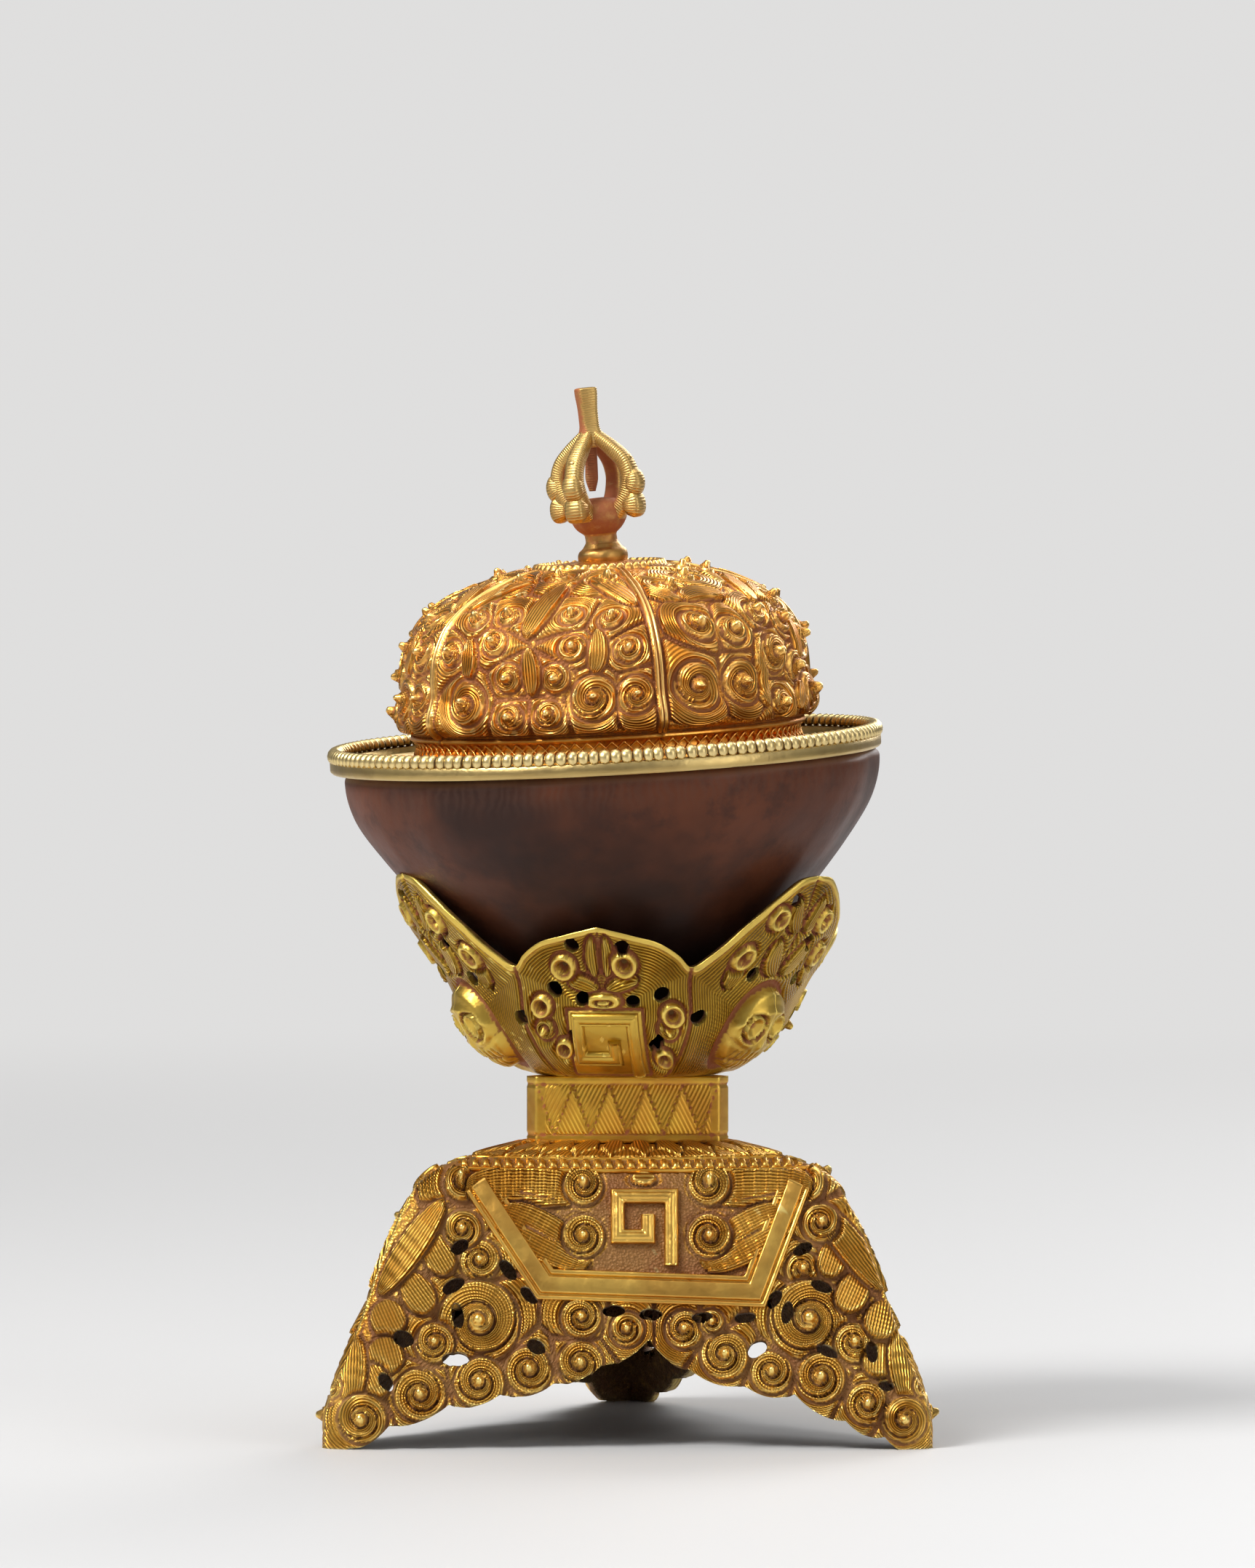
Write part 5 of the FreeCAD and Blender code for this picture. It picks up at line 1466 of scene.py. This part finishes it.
def make_finial(material):
    """Foot, neck and bud, four prongs with their knobs, the pin inside them and the stem they meet in."""
    solid = Solid()
    for pairs, pigment_and_shade in FINIAL_FORMS:
        turned_form(solid, pairs, pigment_and_shade)
    for k in range(PRONG_COUNT):
        for part in PRONG_PARTS:
            tube(solid, FINIAL_TURN + 360.0 / PRONG_COUNT * k, *part)
    tube(solid, 0.0, *FINIAL_PIN)
    tube(solid, FINIAL_TURN + 45.0, *FINIAL_STEM)

    def place(points):
        points = spun(points, -FINIAL_LEAN, 2, 0)
        return lean(points + np.array([FINIAL_OFF_CENTRE, 0.0, LID_FOOT + LID_HEIGHT + FINIAL_LIFT]))
    solid.finish("finial", material, "finial_gilt", ["vajra_finial"], place)


# Stage, light and camera

def area_light(name, place, size, power):
    data = bpy.data.lights.new(name, "AREA")
    data.shape = "RECTANGLE"
    data.size, data.size_y = size
    data.energy = power
    lamp = linked(name, data)
    lamp.location = place
    lamp.rotation_euler = (Vector(LIT_POINT) - lamp.location).to_track_quat("-Z", "Y").to_euler()


def make_stage():
    """Floor that sweeps up behind the object."""
    rows = [(-STAGE_REACH, 0.0), (STAGE_BACK - STAGE_BEND, 0.0)]
    for k in range(1, 13):
        a = math.pi / 2 * k / 12
        rows.append((STAGE_BACK - STAGE_BEND * (1 - math.sin(a)), STAGE_BEND * (1 - math.cos(a))))
    rows.append((STAGE_BACK, STAGE_RISE))
    points = [(x, y, z) for y, z in rows for x in (-STAGE_REACH, STAGE_REACH)]
    faces = [(2 * i, 2 * i + 1, 2 * i + 3, 2 * i + 2) for i in range(len(rows) - 1)]
    mesh = bpy.data.meshes.new("floor")
    mesh.from_pydata(points, [], faces)
    mesh.polygons.foreach_set("use_smooth", [True] * len(faces))
    material, s, shader = fresh_material("floor")
    shader["Base Color"].default_value = (0.56, 0.555, 0.55, 1.0)
    shader["Roughness"].default_value = 0.55
    # Far from the object the camera sees an even pale colour, which lights nothing
    away = s.node("ShaderNodeVectorMath", Vector=s.node("ShaderNodeNewGeometry").outputs["Position"])
    away.operation = "LENGTH"
    seen = s.node("ShaderNodeLightPath").outputs["Is Camera Ray"]
    pale = s.node("ShaderNodeEmission", Color=(0.74, 0.735, 0.73, 1.0), Strength=1.0)
    blend = s.node("ShaderNodeMixShader")
    far = s.times(s.spread(away.outputs["Value"], 0.25, 1.1), seen)
    for number, value in enumerate((far, s.tree.nodes["Principled BSDF"].outputs[0], pale.outputs[0])):
        s.feed(blend.inputs[number], value)
    s.feed(s.tree.nodes["Material Output"].inputs["Surface"], blend.outputs[0])
    mesh.materials.append(material)
    floor = linked("floor", mesh)


def make_world():
    """Soft light, brighter from above; the camera sees an even pale grey."""
    world = bpy.data.worlds.new("studio")
    bpy.context.scene.world = world
    world.use_nodes = True
    s = Shading(world.node_tree)
    back = world.node_tree.nodes["Background"].inputs
    towards = s.node("ShaderNodeNewGeometry").outputs["Incoming"]
    height = s.node("ShaderNodeSeparateXYZ", Vector=towards).outputs["Z"]
    sides = s.mix(s.spread(height, 0.25, -0.65), (0.10, 0.10, 0.105), (0.80, 0.81, 0.83))
    seen = s.node("ShaderNodeLightPath").outputs["Is Camera Ray"]
    s.feed(back["Color"], s.mix(seen, sides, (0.80, 0.80, 0.80)))
    back["Strength"].default_value = 0.55


def make_camera():
    data = bpy.data.cameras.new("camera")
    data.lens = CAMERA_LENS
    data.sensor_fit = "HORIZONTAL"
    data.sensor_width = 36.0
    data.clip_end = 20.0
    camera = linked("camera", data)
    camera.location = (0.0, -CAMERA_AWAY - STAND_FORWARD * MM, CAMERA_HEIGHT)
    camera.rotation_euler = (math.radians(90.0 - CAMERA_DOWN), 0.0, 0.0)
    bpy.context.scene.camera = camera


# Gildings: light, deep, painted highlight (worn) and pigment colours, the pigment colour also standing for
# painted shade
stand_gold = gilt(
    "stand_gilding", (0.84, 0.48, 0.085), (0.62, 0.28, 0.035), (1.0, 0.76, 0.24), (0.105, 0.026, 0.011),
    line_depth=0.00011, shade=0.8,
)
neck_gold = gilt(
    "neck_gilding", (0.64, 0.36, 0.045), (0.54, 0.24, 0.03), (0.80, 0.58, 0.12), (0.33, 0.07, 0.03), 0.38,
    shade=0.3,
)
crown_gold = gilt(
    "crown_gilding", (0.56, 0.34, 0.045), (0.38, 0.20, 0.022), (0.90, 0.68, 0.16), (0.22, 0.030, 0.016), 0.38,
    line_depth=0.00009, shade=0.7,
)
lid_gold = gilt(
    "lid_gilding", (0.88, 0.43, 0.08), (0.70, 0.26, 0.03), (1.0, 0.68, 0.24), (0.22, 0.06, 0.018), pigment_and_shade_gain=0.85,
    line_depth=0.00009, shade=0.65,
)
rim_gold = gilt(
    "rim_gilding", (0.48, 0.33, 0.11), (0.36, 0.23, 0.07), (0.78, 0.60, 0.27), (0.10, 0.042, 0.018), 0.36,
    lines=False,
)
finial_gold = gilt(
    "finial_gilding", (0.52, 0.31, 0.09), (0.42, 0.21, 0.05), (0.66, 0.46, 0.17), (0.33, 0.075, 0.03), 0.42,
)

make_stand(stand_gold)
make_neck(neck_gold)
make_crown(crown_gold)
make_cup(patina("cup_patina"))
make_band(rim_gold)
make_beads(rim_gold)
make_lid(lid_gold)
make_finial(finial_gold)

make_stage()
make_world()
make_camera()
for lamp in LAMPS:
    area_light(*lamp)
bpy.context.scene.view_settings.view_transform = "Standard"
